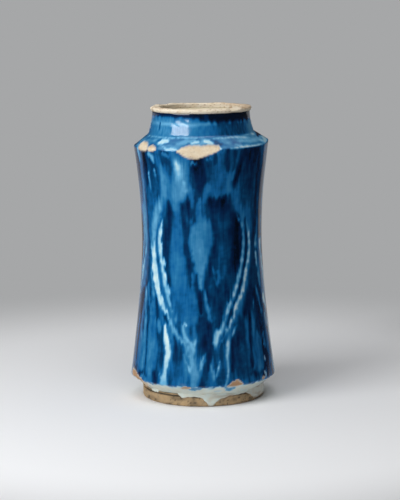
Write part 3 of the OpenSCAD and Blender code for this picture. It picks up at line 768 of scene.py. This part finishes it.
class DRUGJAR_OT_glaze_skin(bpy.types.Operator):
    """Model the glazed outside with its painting and its chips"""
    bl_idname = "drugjar.glaze_skin"
    bl_label = "Glaze Skin"

    STEPS = 372
    INNER_STRIDE = 6
    # Turns where the painting differs: where that starts, is full, starts to fade and ends
    # The shoulder's right is paler: partly painted sheen of the light from above
    PALE_SHOULDER_SHEEN = (36, 50, 80, 95)
    CREAM_LINES = (12, 28, 60, 75)
    # DARK_TOP, DARK_NECK and DARK_DRIPS make the neck darker on the right, pooled cobalt with painted shade;
    # PALE_NECK makes it paler on the left, partly painted light
    NECK_RIGHT, NECK_END, DARK_TOP = (0, 25, 110, 165), (52, 70, 110, 165), (-20, 0, 110, 165)
    DARK_NECK, PALE_NECK = (0, 30, 52, 74), (-70, -50, -15, 0)
    DARK_DRIPS, LONG_DRIPS = (-20, 0, 60, 90), (-20, 20, 70, 110)
    # The neck's heights: the drips' end, with its wander and drop, the pale band, and the dark top, which is
    # pooled cobalt with painted shadow under the lip
    DRIP_Z, DRIP_WANDER, DRIP_DROP = 273.5, 3.0, 5
    BAND_Z, BAND_HALF, BAND_CLIMB = 267.4, 3.4, 2.2
    TOP_Z, TOP_FULL_Z = 273.2, 275.6
    # Width that a flake's stained rim takes from it, and how far above the skirt edge its clay is browned
    FLAKE_RIM, BROWNED_FROM, BROWNED_TO = 2.4, 10, 6
    # The surface's relief in millimetres
    PAINT_RELIEF, FLAKE_DEPTH, BACK_SINK, NECK_RIPPLE = 0.14, 0.55, 0.1, 0.2
    BITE_SINK, BITE_GRIT = 0.32, 0.2
    RISE_SKIRT, RISE_LIP = 17, 8

    def execute(self, context):
        shape, colours = context.scene.drug_jar_shape, context.scene.drug_jar_colours
        outside = Outside(shape)
        glaze_t = shape.glaze_t / MM
        inner = outside.line - outside.normals * glaze_t
        bm = bmesh.new()
        add_turned(bm, outside.line.tolist(), self.STEPS)
        outer_count = len(bm.verts)
        add_turned(bm, np.concatenate([inner[:-2:self.INNER_STRIDE], inner[-2:-1]]).tolist(), self.STEPS)
        middle = (foot_h + lip_z) / 2 * MM
        rims = [e for e in bm.edges if e.is_boundary]
        for low in (True, False):
            bmesh.ops.bridge_loops(bm, edges=[e for e in rims if (e.verts[0].co.z < middle) == low])
        piece = finished(bm, "glaze_skin")
        points = coordinates(piece.data)
        depth = np.where(np.arange(len(points)) < outer_count, 0.0, glaze_t)
        turn, z = turn_of(points), points[:, 2]
        sheet = Sheet(outside)
        tone, thin, bare = (sheet.at(values, turn, z) for values in self.painting(shape, sheet))
        move_to(piece.data, self.settled(shape, outside, points, turn, z, depth, tone, bare))
        keep_field(piece.data, "tone", tone)
        keep_field(piece.data, "thin", thin)
        keep_field(piece.data, "bare", bare)
        panels = [side + part for side in ("front_", "right_", "left_") for part in ("medallion", "outline")]
        stand_for(piece, cobalt_glaze(colours), "cobalt_glaze", "white_ground", "cobalt_neck_band",
                  "cobalt_shoulder_band", "cobalt_field", *panels)
        return {"FINISHED"}

    def painting(self, shape, sheet):
        """Tone of the cobalt, with its painted highlights, sheen and shade, thinness of the ground and
        bareness of the clay over the sheet.
        """
        points, turn, z = sheet.points, sheet.turn, sheet.z
        streaks = noise_field(points, 5, 60, 1.7)
        fine = noise_field(points, 1.6, 22, 6.2)
        grain = noise_field(points, 2.2, 9, 3.1)
        teeth = noise_field(points, 4, 2.6, 14.3)
        flat = points * [1, 1, 0]
        tone = BASE_TONE + 0.12 * streaks + 0.06 * fine
        draw = random.Random(shape.seed)
        for sector in MEDALLION_TURNS:
            sheet.paint(tone, MEDALLION, 0.9 * grain + 1.1 * teeth, sector, draw if sector else None)
        hold = 0.45 + 0.6 * noise_field(points, 2.6, 40, 9.7)
        tone = sheet.run_down(tone, 3.0 * fine + 1.5 * streaks, hold)
        tone += 0.06 * streaks + 0.05 * fine + 0.08 * noise_field(points, 4.4, 12, 12.6) + 0.05 * teeth
        shoulder = 0.54 + 0.34 * noise_field(points, 8, 3, 5.3)
        # Paler on the right of the shoulder: partly painted sheen
        shoulder -= 0.15 * span(turn, *self.PALE_SHOULDER_SHEEN)
        tone += (shoulder - tone) * smooth_step(shoulder_z - 1.0, shoulder_z + 0.8, z + 0.8 * grain)
        sheet.paint(tone, SHOULDER_FLECKS_AND_HIGHLIGHTS, 0.8 * grain)
        neck = self.neck_tone(turn, z, flat, streaks, fine)
        tone += (neck - tone) * smooth_step(neck_z - 0.6, neck_z + 0.6, z)
        sheet.paint(tone, NECK_DRIPS, 0.8 * grain)
        hem = skirt_z - 1.0 + 2.0 * noise_field(flat, 4, 1, 2.9) + 1.2 * grain + 1.6 * teeth
        wash = 0.05 + 0.16 * smooth_step(0.0, 0.6, noise_field(points, 9, 4, 7.7))
        tone += (wash - tone) * smooth_step(0.8, -0.8, z - hem)
        sheet.paint(tone, SKIRT_SMEARS, 1.5 * grain)
        thin = smooth_step(skirt_z - 0.5, skirt_z - 3, z) * smooth_step(0.3, 0.1, tone)
        thin += 0.5 * smooth_step(0.32, 0.14, tone) * span(turn, *self.CREAM_LINES) * (z > skirt_z)
        bare, fresh = np.zeros(len(z)), np.zeros(len(z))
        cores = [[(*place, max(width - self.FLAKE_RIM, 0.2)) for *place, width in flake] for flake in FLAKES]
        sheet.paint(bare, [Stroke(FULL_TONE, FULL_TONE, 0.5, flake) for flake in FLAKES], 0.9 * grain)
        sheet.paint(fresh, [Stroke(FULL_TONE, FULL_TONE, 1.2, core) for core in cores], 1.2 * grain)
        rim = 0.6 * bare * (1 - fresh) * smooth_step(-0.3, 0.5, noise_field(points, 7, 5, 3.7))
        browned = 0.85 - 0.45 * smooth_step(skirt_z - 2, skirt_z - 4, z)
        browned *= smooth_step(skirt_z + self.BROWNED_FROM, skirt_z + self.BROWNED_TO, z)
        thin = np.where(bare > 0.5, np.maximum(rim, bare * browned), np.maximum(thin, rim))
        return np.clip(tone, 0, 1), thin, bare

    def neck_tone(self, turn, z, flat, streaks, fine):
        """Tone of the neck, with its pale band, the dark drips that hang from under the lip, and painted
        shadow there and on its right.
        """
        right = span(turn, *self.NECK_RIGHT)
        # Darker to the right and paler to the left: partly painted shade and light
        neck = 0.58 + 0.17 * span(turn, *self.DARK_NECK) + 0.1 * fine
        neck -= 0.1 * span(turn, *self.PALE_NECK) + 0.2 * span(turn, *self.NECK_END)
        off_band = np.abs(z - self.BAND_Z - self.BAND_CLIMB * right - streaks)
        neck -= (0.18 + 0.14 * right + 0.16 * fine) * smooth_step(self.BAND_HALF, 0, off_band)
        drips = self.DRIP_Z + self.DRIP_WANDER * noise_field(flat, 3.5, 1, 8.9)
        drips -= self.DRIP_DROP * span(turn, *self.LONG_DRIPS)
        dark = 0.82 + 0.17 * span(turn, *self.DARK_DRIPS)
        neck += (dark - neck) * smooth_step(-3, 3.5, z - drips)
        # The dark top under the lip: pooled cobalt with painted shadow of the lip, darker to the right
        top = 0.93 + 0.06 * span(turn, *self.DARK_TOP)
        return neck + (top - neck) * smooth_step(self.TOP_Z, self.TOP_FULL_Z, z + 1.2 * fine)

    def settled(self, shape, outside, points, turn, z, depth, tone, bare):
        """The vertices moved to the fired surface: its wobble, ripples, relief and chips."""
        normal = outside.normal(turn, z)
        wobble = shape.wobble / MM * noise_field(points, 70, 90, 0.4)
        ripple = shape.ripple / MM * noise_field(points, 7, 80, 2.2)
        on_neck = span(z, neck_z, neck_z + 4, lip_z - 8, lip_z - 3)
        ripple += self.NECK_RIPPLE * noise_field(points, 7, 3.2, 3.8) * on_neck
        relief = self.PAINT_RELIEF * (tone - 0.5) - self.FLAKE_DEPTH * bare
        moved = points + normal * (wobble + ripple + np.where(depth > 0, -self.BACK_SINK, relief))[:, None]
        heights = [shoulder_z - self.RISE_SKIRT, shoulder_z, neck_z, lip_z - self.RISE_LIP]
        moved[:, 2] += np.interp(z, heights, [0, 1, 0.4, 0]) * eased(turn, SHOULDER_RISE)
        broken = noise_field(points, 2.2, 2.2, 6.6)
        for bite in BITES:
            k = min(bite.length ** 2 / (8 * bite.depth), FLATTEST_BITE * bite.edge_r)
            ball_r = k * bite.edge_r / (bite.edge_r - k)
            lean = math.radians(bite.lean)
            out = outward(np.array([bite.turn]))[0]
            up = np.array([0, 0, 1])
            edge = out * bite.edge_r + up * bite.edge_z
            centre = edge + (out * math.cos(lean) + up * math.sin(lean)) * (ball_r - bite.depth)
            offset = moved - centre
            distance = np.linalg.norm(offset, axis=1)
            seat = ball_r - self.BITE_SINK + self.BITE_GRIT * broken + depth
            inside = distance < seat
            moved[inside] = centre + offset[inside] * (seat / distance)[inside, None]
        return moved


class DRUGJAR_OT_lip(bpy.types.Operator):
    """Model the bare, worn lip"""
    bl_idname = "drugjar.lip"
    bl_label = "Lip"

    STEPS = 300
    SIDE_STEPS = 8
    # Radii of the corners at the start of these sides: inner top, outer top and outer bottom
    ROUNDS = {3: 1.6, 2: 2.2, 1: 3.0}
    # Turns of the nick, of the front kept lighter with fewer stains as painted light, and of the browned
    # right, each from its start to its end
    NICK, CLEAN, BROWNED = (33, 38, 46, 52), (5, 18, 48, 62), (40, 75, 130, 170)
    NICK_DROP, NICK_DEPTH = 1.3, 0.8

    def execute(self, context):
        colours = context.scene.drug_jar_colours
        corners = [(mouth_r, lip_z), (lip_r, lip_z), (lip_r, jar_h), (mouth_r, jar_h)]
        line = []
        for start, end in zip(corners, corners[1:] + corners[:1]):
            line += straight(start, end, self.SIDE_STEPS)
        line.append(line[0])
        for side, radius in self.ROUNDS.items():
            line = rounded(line, side * self.SIDE_STEPS, radius)
        piece, points = turned_piece("lip", line, self.STEPS)
        turn, r = turn_of(points), np.hypot(points[:, 0], points[:, 1])
        top = smooth_step(lip_z + 1.5, jar_h - 0.5, points[:, 2])
        outer = smooth_step(mouth_r + 3, lip_r - 1, r)
        wear = noise_field(points * [1, 1, 0], 16, 1, 3.3) + 0.5 * noise_field(points, 5, 5, 4.1)
        nick = span(turn, *self.NICK)
        points[:, 2] -= top * (0.35 + 0.55 * wear + self.NICK_DROP * nick * outer)
        points += outward(turn) * (-outer * (0.35 + 0.45 * wear + self.NICK_DEPTH * nick))[:, None]
        points += outward(turn) * (0.12 * noise_field(points, 1.6, 1.6, 5.5))[:, None]
        move_to(piece.data, points)
        spots = 0.5 * smooth_step(0.2, 0.6, noise_field(points, 7, 5, 2.7))
        # Fewer stains on the lip's front and right: painted light, lighter where the light falls
        spots *= 1 - 0.8 * span(turn, *self.CLEAN)
        spots += 0.4 * top * span(turn, *self.BROWNED)
        specks = 0.7 * smooth_step(0.4, 0.55, noise_field(points, 1.6, 1.3, 5.1))
        keep_field(piece.data, "stain", np.clip(spots + specks, 0, 0.8))
        clay = worn_clay("Worn_lip_earthenware", colours.lip, linear("#DAC5A0"), colours.stain, 1.0)
        stand_for(piece, clay, "lip_clay", "rim_lip")
        return {"FINISHED"}


class DRUGJAR_OT_lining(bpy.types.Operator):
    """Model the thin, stained glaze inside"""
    bl_idname = "drugjar.lining"
    bl_label = "Lining"

    STEPS = 180
    LINING_T = 0.5
    WALL_STEPS, FLOOR_STEPS, BORE_STEPS, BEND_STEPS = 60, 16, 10, 6
    FLAT_R, COVE_RISE, TOP_DROP, BORE_DROP = 49, 15, 9.3, 1
    RING_RISE, RING_DEPTH, SWELL = 6.5, 0.22, 0.3
    # Heights where the lining starts to darken towards the bottom, and where it is darkest
    DIRT_TOP, DIRT_FULL = 180, 20

    def execute(self, context):
        shape, colours = context.scene.drug_jar_shape, context.scene.drug_jar_colours
        outside = Outside(shape)
        gap = shape.lining_gap / MM
        cove_z, top_z = floor_z + self.COVE_RISE, shoulder_z - self.TOP_DROP
        wall = [(float(outside.wall_radius(z)) - gap, z) for z in np.linspace(cove_z, top_z, self.WALL_STEPS)]
        bore = straight((mouth_r, neck_z - self.BORE_DROP), (mouth_r, lip_z), self.BORE_STEPS)
        bore.append((mouth_r, lip_z))
        cove = (self.FLAT_R, floor_z + self.LINING_T)
        line = straight((0, floor_z + self.LINING_T), cove, self.FLOOR_STEPS)
        line += straight(cove, wall[0], self.BEND_STEPS) + wall
        line += straight(wall[-1], bore[0], self.BEND_STEPS)[1:] + bore
        back = [(r + self.LINING_T, z) for r, z in bore[::-1] + wall[::-self.BEND_STEPS]]
        back += [(self.FLAT_R + self.LINING_T, floor_z), (0, floor_z)]
        piece, points = turned_piece("lining", line + back, self.STEPS)
        turn, z = turn_of(points), points[:, 2]
        on_wall = span(z, cove_z - 4, cove_z + 8, lip_z - 8, lip_z - 1)
        rings = self.RING_DEPTH * np.sin(z / self.RING_RISE * math.tau + np.radians(turn))
        rings += self.SWELL * noise_field(points, 40, 30, 1.1)
        points += outward(turn) * (on_wall * (rings - 0.2))[:, None]
        move_to(piece.data, points)
        drips = noise_field(points, 6, 70, 2.9)
        # Darker towards the bottom of the inside
        dirt = 0.3 * smooth_step(self.DIRT_TOP, self.DIRT_FULL, z)
        keep_field(piece.data, "stain", np.clip(0.05 + 0.35 * drips + dirt, 0, 1))
        glaze = worn_clay("Thin_lining_glaze", colours.lining, linear("#CDBE9C"), colours.stain, 2.0)
        stand_for(piece, glaze, "lining_glaze", "inner_glaze")
        return {"FINISHED"}


class DRUGJAR_OT_foot(bpy.types.Operator):
    """Model the turned foot ring and the glaze that ran over it"""
    bl_idname = "drugjar.foot"
    bl_label = "Foot"

    STEPS = 300
    # The ring's breadth at the hollow and at the floor's seat, its groove below its top, and its roundings
    HOLLOW_W, SEAT_W = 15, 8.5
    GROOVE_LOW, GROOVE_HIGH, GROOVE_DEPTH = 2.6, 1.0, 1.0
    EDGE_R, INNER_EDGE_R, GROOVE_R, EDGE_STEPS = 1.6, 1, 0.3, 3
    STEP_LENGTH = 1.2
    # Lower edge of the glaze on the foot, as height by turn; above the foot's top the foot is bare
    RUN_EDGE = [
        (-180, 6), (-164, 4), (-150, 8), (-131, 6), (-115, 9), (-96, 5), (-84, 12.7), (-59, 12.7),
        (-55, 10.4), (-48, 10.2), (-45, 12.7), (-25, 12.7), (-23, 10), (-20, 7.8), (-14, 9), (-8, 9.6),
        (-4, 9.2), (-1, 8), (2, 5), (5, 0.8), (8.5, 0.8), (12.5, 4.6), (17, 7.2), (25, 9.2), (33, 9.5),
        (43, 10), (48, 8), (52, 5), (56, 2.1), (66, 1.9), (76, 2.4), (84, 5), (94, 6.5), (106, 7),
        (120, 6), (127, 2), (134, 8), (150, 7.5), (166, 8.5), (180, 6),
    ]
    RUN_STEPS, FACE_STEPS, BACK_STEPS = 360, 14, 6
    RUN_RISE, RUN_BACK, RUN_SEAT, RUN_LOWEST = 1.6, 0.7, 0.25, 0.25
    SOOTY = (40, 56, 95, 120)
    RUN_T = 0.6

    def execute(self, context):
        colours = context.scene.drug_jar_colours
        self.make_ring(colours)
        self.make_runs(colours)
        return {"FINISHED"}

    def make_ring(self, colours):
        """The bare ring, with its groove, its hollow and its dents, and painted shade in the groove."""
        hollow_r, seat_r, groove_r = foot_r - self.HOLLOW_W, foot_r - self.SEAT_W, foot_r - self.GROOVE_DEPTH
        groove_low, groove_high = foot_h - self.GROOVE_LOW, foot_h - self.GROOVE_HIGH
        corners = [(hollow_r, 0, self.INNER_EDGE_R), (foot_r, 0, self.EDGE_R)]
        corners += [(foot_r, groove_low, self.GROOVE_R), (groove_r, groove_low, self.GROOVE_R),
                    (groove_r, groove_high, self.GROOVE_R), (foot_r, groove_high, self.GROOVE_R)]
        corners += [(foot_r, foot_h, 0), (seat_r, foot_h, 0), (seat_r, hollow_h, 0), (hollow_r, hollow_h, 0)]
        line, rounds = [], []
        for (r0, z0, radius), (r1, z1, _) in zip(corners, corners[1:] + corners[:1]):
            rounds.append((len(line), radius))
            steps = max(2, round(math.hypot(r1 - r0, z1 - z0) / self.STEP_LENGTH))
            line += straight((r0, z0), (r1, z1), steps)
        line.append(line[0])
        for corner, radius in rounds[:0:-1]:
            if radius:
                line = rounded(line, corner, radius, self.EDGE_STEPS)
        piece, points = turned_piece("foot", line, self.STEPS)
        turn, r = turn_of(points), np.hypot(points[:, 0], points[:, 1])
        outer = smooth_step(foot_r - 3, foot_r - 1.5, r)
        dents = noise_field(points, 9, 6, 2.4) + 0.8 * noise_field(points, 3, 2.5, 9.4)
        dents += 0.5 * noise_field(points, 30, 1.3, 8.1)
        points += outward(turn) * (outer * (0.55 * dents - 0.35))[:, None]
        low = smooth_step(2.5, 0.3, points[:, 2]) * outer
        points[:, 2] += low * np.maximum(0.8 * noise_field(points * [1, 1, 0], 12, 1, 3.9), 0)
        move_to(piece.data, points)
        # Painted shade in the groove, carried with the stains
        groove_shade = smooth_step(groove_low - 0.6, groove_low, points[:, 2])
        groove_shade *= smooth_step(foot_r - 0.4, groove_r, r)
        spots = 0.55 * smooth_step(-0.1, 0.5, noise_field(points, 9, 5, 6.1))
        spots += 0.5 * smooth_step(0.15, 0.6, noise_field(points, 5, 2.5, 1.3))
        spots += 0.7 * smooth_step(0.36, 0.52, noise_field(points, 1.9, 1.5, 4.6))
        keep_field(piece.data, "stain", np.clip(0.85 * groove_shade + spots, 0, 1))
        # The dark colour serves both the foot's stains and the painted shade in its groove
        clay = worn_clay("Turned_foot_earthenware", colours.foot, linear("#CDAA7B"), linear("#4A4030"), 0.9)
        stand_for(piece, clay, "bare_clay", "foot_ring")

    def make_runs(self, colours):
        """The apron of ground glaze, whose lower edge hangs in drips."""
        top_z = foot_h + self.RUN_RISE
        outer = [(foot_r + self.RUN_T, z) for z in np.linspace(top_z, 0, self.FACE_STEPS)]
        inner = [(foot_r - self.RUN_BACK, z) for z in np.linspace(0, top_z, self.BACK_STEPS)]
        piece, points = turned_piece("foot_runs", outer + inner + outer[:1], self.RUN_STEPS)
        turn, r = turn_of(points), np.hypot(points[:, 0], points[:, 1])
        low = eased(turn, self.RUN_EDGE) + 0.5 * noise_field(points * [1, 1, 0], 3, 1, 4.4)
        low = np.clip(low, self.RUN_LOWEST, top_z - 0.3)
        share = 1 - points[:, 2] / top_z
        z = top_z + (low - top_z) * share
        face = r > foot_r
        bead = np.sqrt(np.clip(1 - share ** 6, 0, 1)) * (0.55 + 0.6 * smooth_step(0.3, 0.9, share))
        swell = 0.55 + 0.06 * np.maximum(foot_h - low, 0) + 0.2 * noise_field(points, 5, 5, 1.9)
        swell *= bead
        out = np.where(face, foot_r - self.RUN_SEAT + swell, foot_r - self.RUN_BACK)
        points = outward(turn) * out[:, None]
        points[:, 2] = z
        move_to(piece.data, points)
        dirt = smooth_step(0.1, 0.6, noise_field(points, 10, 4, 5.8))
        edge = smooth_step(0.72, 0.95, share) * smooth_step(-0.4, 0.4, noise_field(points, 6, 6, 7.1))
        sooty = span(turn, *self.SOOTY)
        keep_field(piece.data, "stain", np.clip(0.35 * dirt + 0.5 * edge + 0.22 * sooty, 0, 1))
        stand_for(piece, ground_glaze("Run_ground_glaze", colours.cream, colours.ground, colours.stain),
                  "ground_glaze", "foot_glaze_runs")


class DRUGJAR_OT_clay_sections(bpy.types.Operator):
    """Give the thrown sections, the floor and their slip their fired clay"""
    bl_idname = "drugjar.clay_sections"
    bl_label = "Clay Sections"

    NODES = ("floor_disc", "lower_wall", "upper_wall", "shoulder_ring", "neck_collar",
             "foot_slip", "waist_slip", "shoulder_slip", "neck_slip", "lip_slip")

    def execute(self, context):
        colours = context.scene.drug_jar_colours
        clay = worn_clay("Fired_earthenware", colours.clay, linear("#C9A67C"), colours.ochre, 1.0)
        for name in self.NODES:
            node = frame["nodes"][name]
            node.data.materials.clear()
            node.data.materials.append(clay)
        return {"FINISHED"}


class DRUGJAR_OT_stage(bpy.types.Operator):
    """Set the pale floor, the soft lights and the camera"""
    bl_idname = "drugjar.stage"
    bl_label = "Stage"

    FLOOR_R, FLOOR_SIDES = 40.0, 96
    # Where the pale floor starts and ends to fade, and how much nearer that is in a reflection
    NEAR_R, FAR_R, MIRROR_CUT = 0.30, 0.62, 0.2
    # How far in front of the backdrop's edge the room is lit and dim, and that edge's slant to the left
    LIT_R, DIM_R, LEFT_DIM = -0.2, 0.05, 0.55
    CAMERA_PLACE = (0.0, -1.730, 0.4064)
    CAMERA_PITCH, CAMERA_YAW, CAMERA_ROLL = 8.694, 0.068, -0.53
    LENS, SENSOR = 129.92, 36.0
    # Each lamp: turn from the front, rise over the horizon, distance, width, height and power
    LAMPS = {"key": (-49, 24.5, 1.3, 0.87, 0.33, 10.1), "front": (-15, 62, 1.5, 1.4, 0.8, 6.6),
             "top": (0, 80, 1.5, 2.6, 2.6, 14.5)}
    AIM = Vector((0, 0, 0.15))
    WORLD = 0.05

    def execute(self, context):
        colours = context.scene.drug_jar_colours
        self.make_floor(colours)
        for name, (turn, rise, distance, width, height, power) in self.LAMPS.items():
            lamp = bpy.data.lights.new(name, "AREA")
            lamp.shape, lamp.size, lamp.size_y, lamp.energy = "RECTANGLE", width, height, power
            holder = bpy.data.objects.new(name, lamp)
            turn, rise = math.radians(turn), math.radians(rise)
            way = Vector((math.sin(turn) * math.cos(rise), -math.cos(turn) * math.cos(rise), math.sin(rise)))
            holder.location = self.AIM + way * distance
            holder.rotation_euler = way.to_track_quat("Z", "Y").to_euler()
            context.scene.collection.objects.link(holder)
        world = context.scene.world or bpy.data.worlds.new("Studio")
        context.scene.world = world
        world.use_nodes = True
        background = world.node_tree.nodes["Background"]
        feed(world.node_tree, background, {"Color": linear("#FFFFFF"), "Strength": self.WORLD})
        self.make_camera(context)
        context.scene.view_settings.view_transform = "Standard"
        return {"FINISHED"}

    def make_floor(self, colours):
        """A wide pale floor: matt paint near the jar, an even grey behind it and a dim room elsewhere."""
        bm = bmesh.new()
        bmesh.ops.create_circle(bm, cap_ends=True, segments=self.FLOOR_SIDES, radius=self.FLOOR_R)
        mesh = bpy.data.meshes.new("floor")
        bm.to_mesh(mesh)
        bm.free()
        floor = bpy.data.objects.new("floor", mesh)
        bpy.context.scene.collection.objects.link(floor)
        material, tree, shader = new_material("Matt_floor_paint")
        feed(tree, shader, {"Base Color": colours.floor, "Roughness": 0.9})
        place = add(tree, "TexCoord").outputs["Object"]
        away = add(tree, "VectorMath", {0: place}, operation="LENGTH").outputs["Value"]
        path = add(tree, "LightPath").outputs
        cut = add(tree, "Math", {0: path["Is Glossy Ray"], 1: self.MIRROR_CUT}, operation="MULTIPLY")
        away = add(tree, "Math", {0: away, 1: cut}, operation="ADD")
        far = add(tree, "MapRange", {"Value": away, "From Min": self.NEAR_R, "From Max": self.FAR_R},
                  interpolation_type="SMOOTHSTEP")
        parts = add(tree, "SeparateXYZ", {0: place})
        leftward = add(tree, "Math", {0: parts.outputs["X"], 1: -self.LEFT_DIM}, operation="MULTIPLY")
        beside = add(tree, "Math", {0: parts.outputs["X"], 1: leftward}, operation="MAXIMUM")
        aside = add(tree, "Math", {0: beside, 1: parts.outputs["Y"]}, operation="SUBTRACT")
        outside = add(tree, "MapRange", {"Value": aside, "From Min": self.LIT_R, "From Max": self.DIM_R},
                      interpolation_type="SMOOTHSTEP")
        shade = add(tree, "Mix", {SHARE: outside, FIRST: colours.backdrop, SECOND: colours.dim},
                    data_type="RGBA")
        seen = add(tree, "Math", {0: path["Is Camera Ray"], 1: path["Is Glossy Ray"]}, operation="ADD")
        seen = add(tree, "Math", {0: seen, 1: path["Is Transmission Ray"]}, operation="ADD", use_clamp=True)
        share = add(tree, "Math", {0: far, 1: seen}, operation="MULTIPLY")
        glow = add(tree, "Emission", {"Color": shade, "Strength": 1.0})
        mix = add(tree, "MixShader", {0: share, 1: shader, 2: glow})
        feed(tree, tree.nodes["Material Output"], {"Surface": mix})
        mesh.materials.append(material)

    def make_camera(self, context):
        """A camera at the photograph's height, distance and tilt."""
        data = bpy.data.cameras.new("camera")
        data.lens, data.sensor_width = self.LENS, self.SENSOR
        camera = bpy.data.objects.new("camera", data)
        pitch = Matrix.Rotation(math.radians(90 - self.CAMERA_PITCH), 4, "X")
        yaw = Matrix.Rotation(math.radians(self.CAMERA_YAW), 4, "Z")
        roll = Matrix.Rotation(math.radians(self.CAMERA_ROLL), 4, "Z")
        camera.matrix_world = Matrix.Translation(self.CAMERA_PLACE) @ yaw @ pitch @ roll
        context.scene.collection.objects.link(camera)
        context.scene.camera = camera


class DRUGJAR_PT_panel(bpy.types.Panel):
    """Lists the jar's sizes, colours and pieces"""
    bl_label = "Drug Jar"
    bl_space_type = "VIEW_3D"
    bl_region_type = "UI"
    bl_category = "Drug Jar"

    def draw(self, context):
        for group in (context.scene.drug_jar_shape, context.scene.drug_jar_colours):
            box = self.layout.box()
            for name in group.__annotations__:
                box.prop(group, name)
        for step in STEPS:
            self.layout.operator(step.bl_idname)


GROUPS = (JarShape, JarColours)
STEPS = (DRUGJAR_OT_stage, DRUGJAR_OT_clay_sections, DRUGJAR_OT_glaze_skin, DRUGJAR_OT_lip,
         DRUGJAR_OT_lining, DRUGJAR_OT_foot)
CLASSES = GROUPS + STEPS + (DRUGJAR_PT_panel,)


def register():
    for cls in CLASSES:
        bpy.utils.register_class(cls)
    bpy.types.Scene.drug_jar_shape = PointerProperty(type=JarShape)
    bpy.types.Scene.drug_jar_colours = PointerProperty(type=JarColours)


def unregister():
    del bpy.types.Scene.drug_jar_colours
    del bpy.types.Scene.drug_jar_shape
    for cls in reversed(CLASSES):
        bpy.utils.unregister_class(cls)


def main():
    """Builds the whole scene."""
    register()
    for step in STEPS:
        group, name = step.bl_idname.split(".")
        getattr(getattr(bpy.ops, group), name)()
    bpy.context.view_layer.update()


if __name__ == "__main__":
    main()
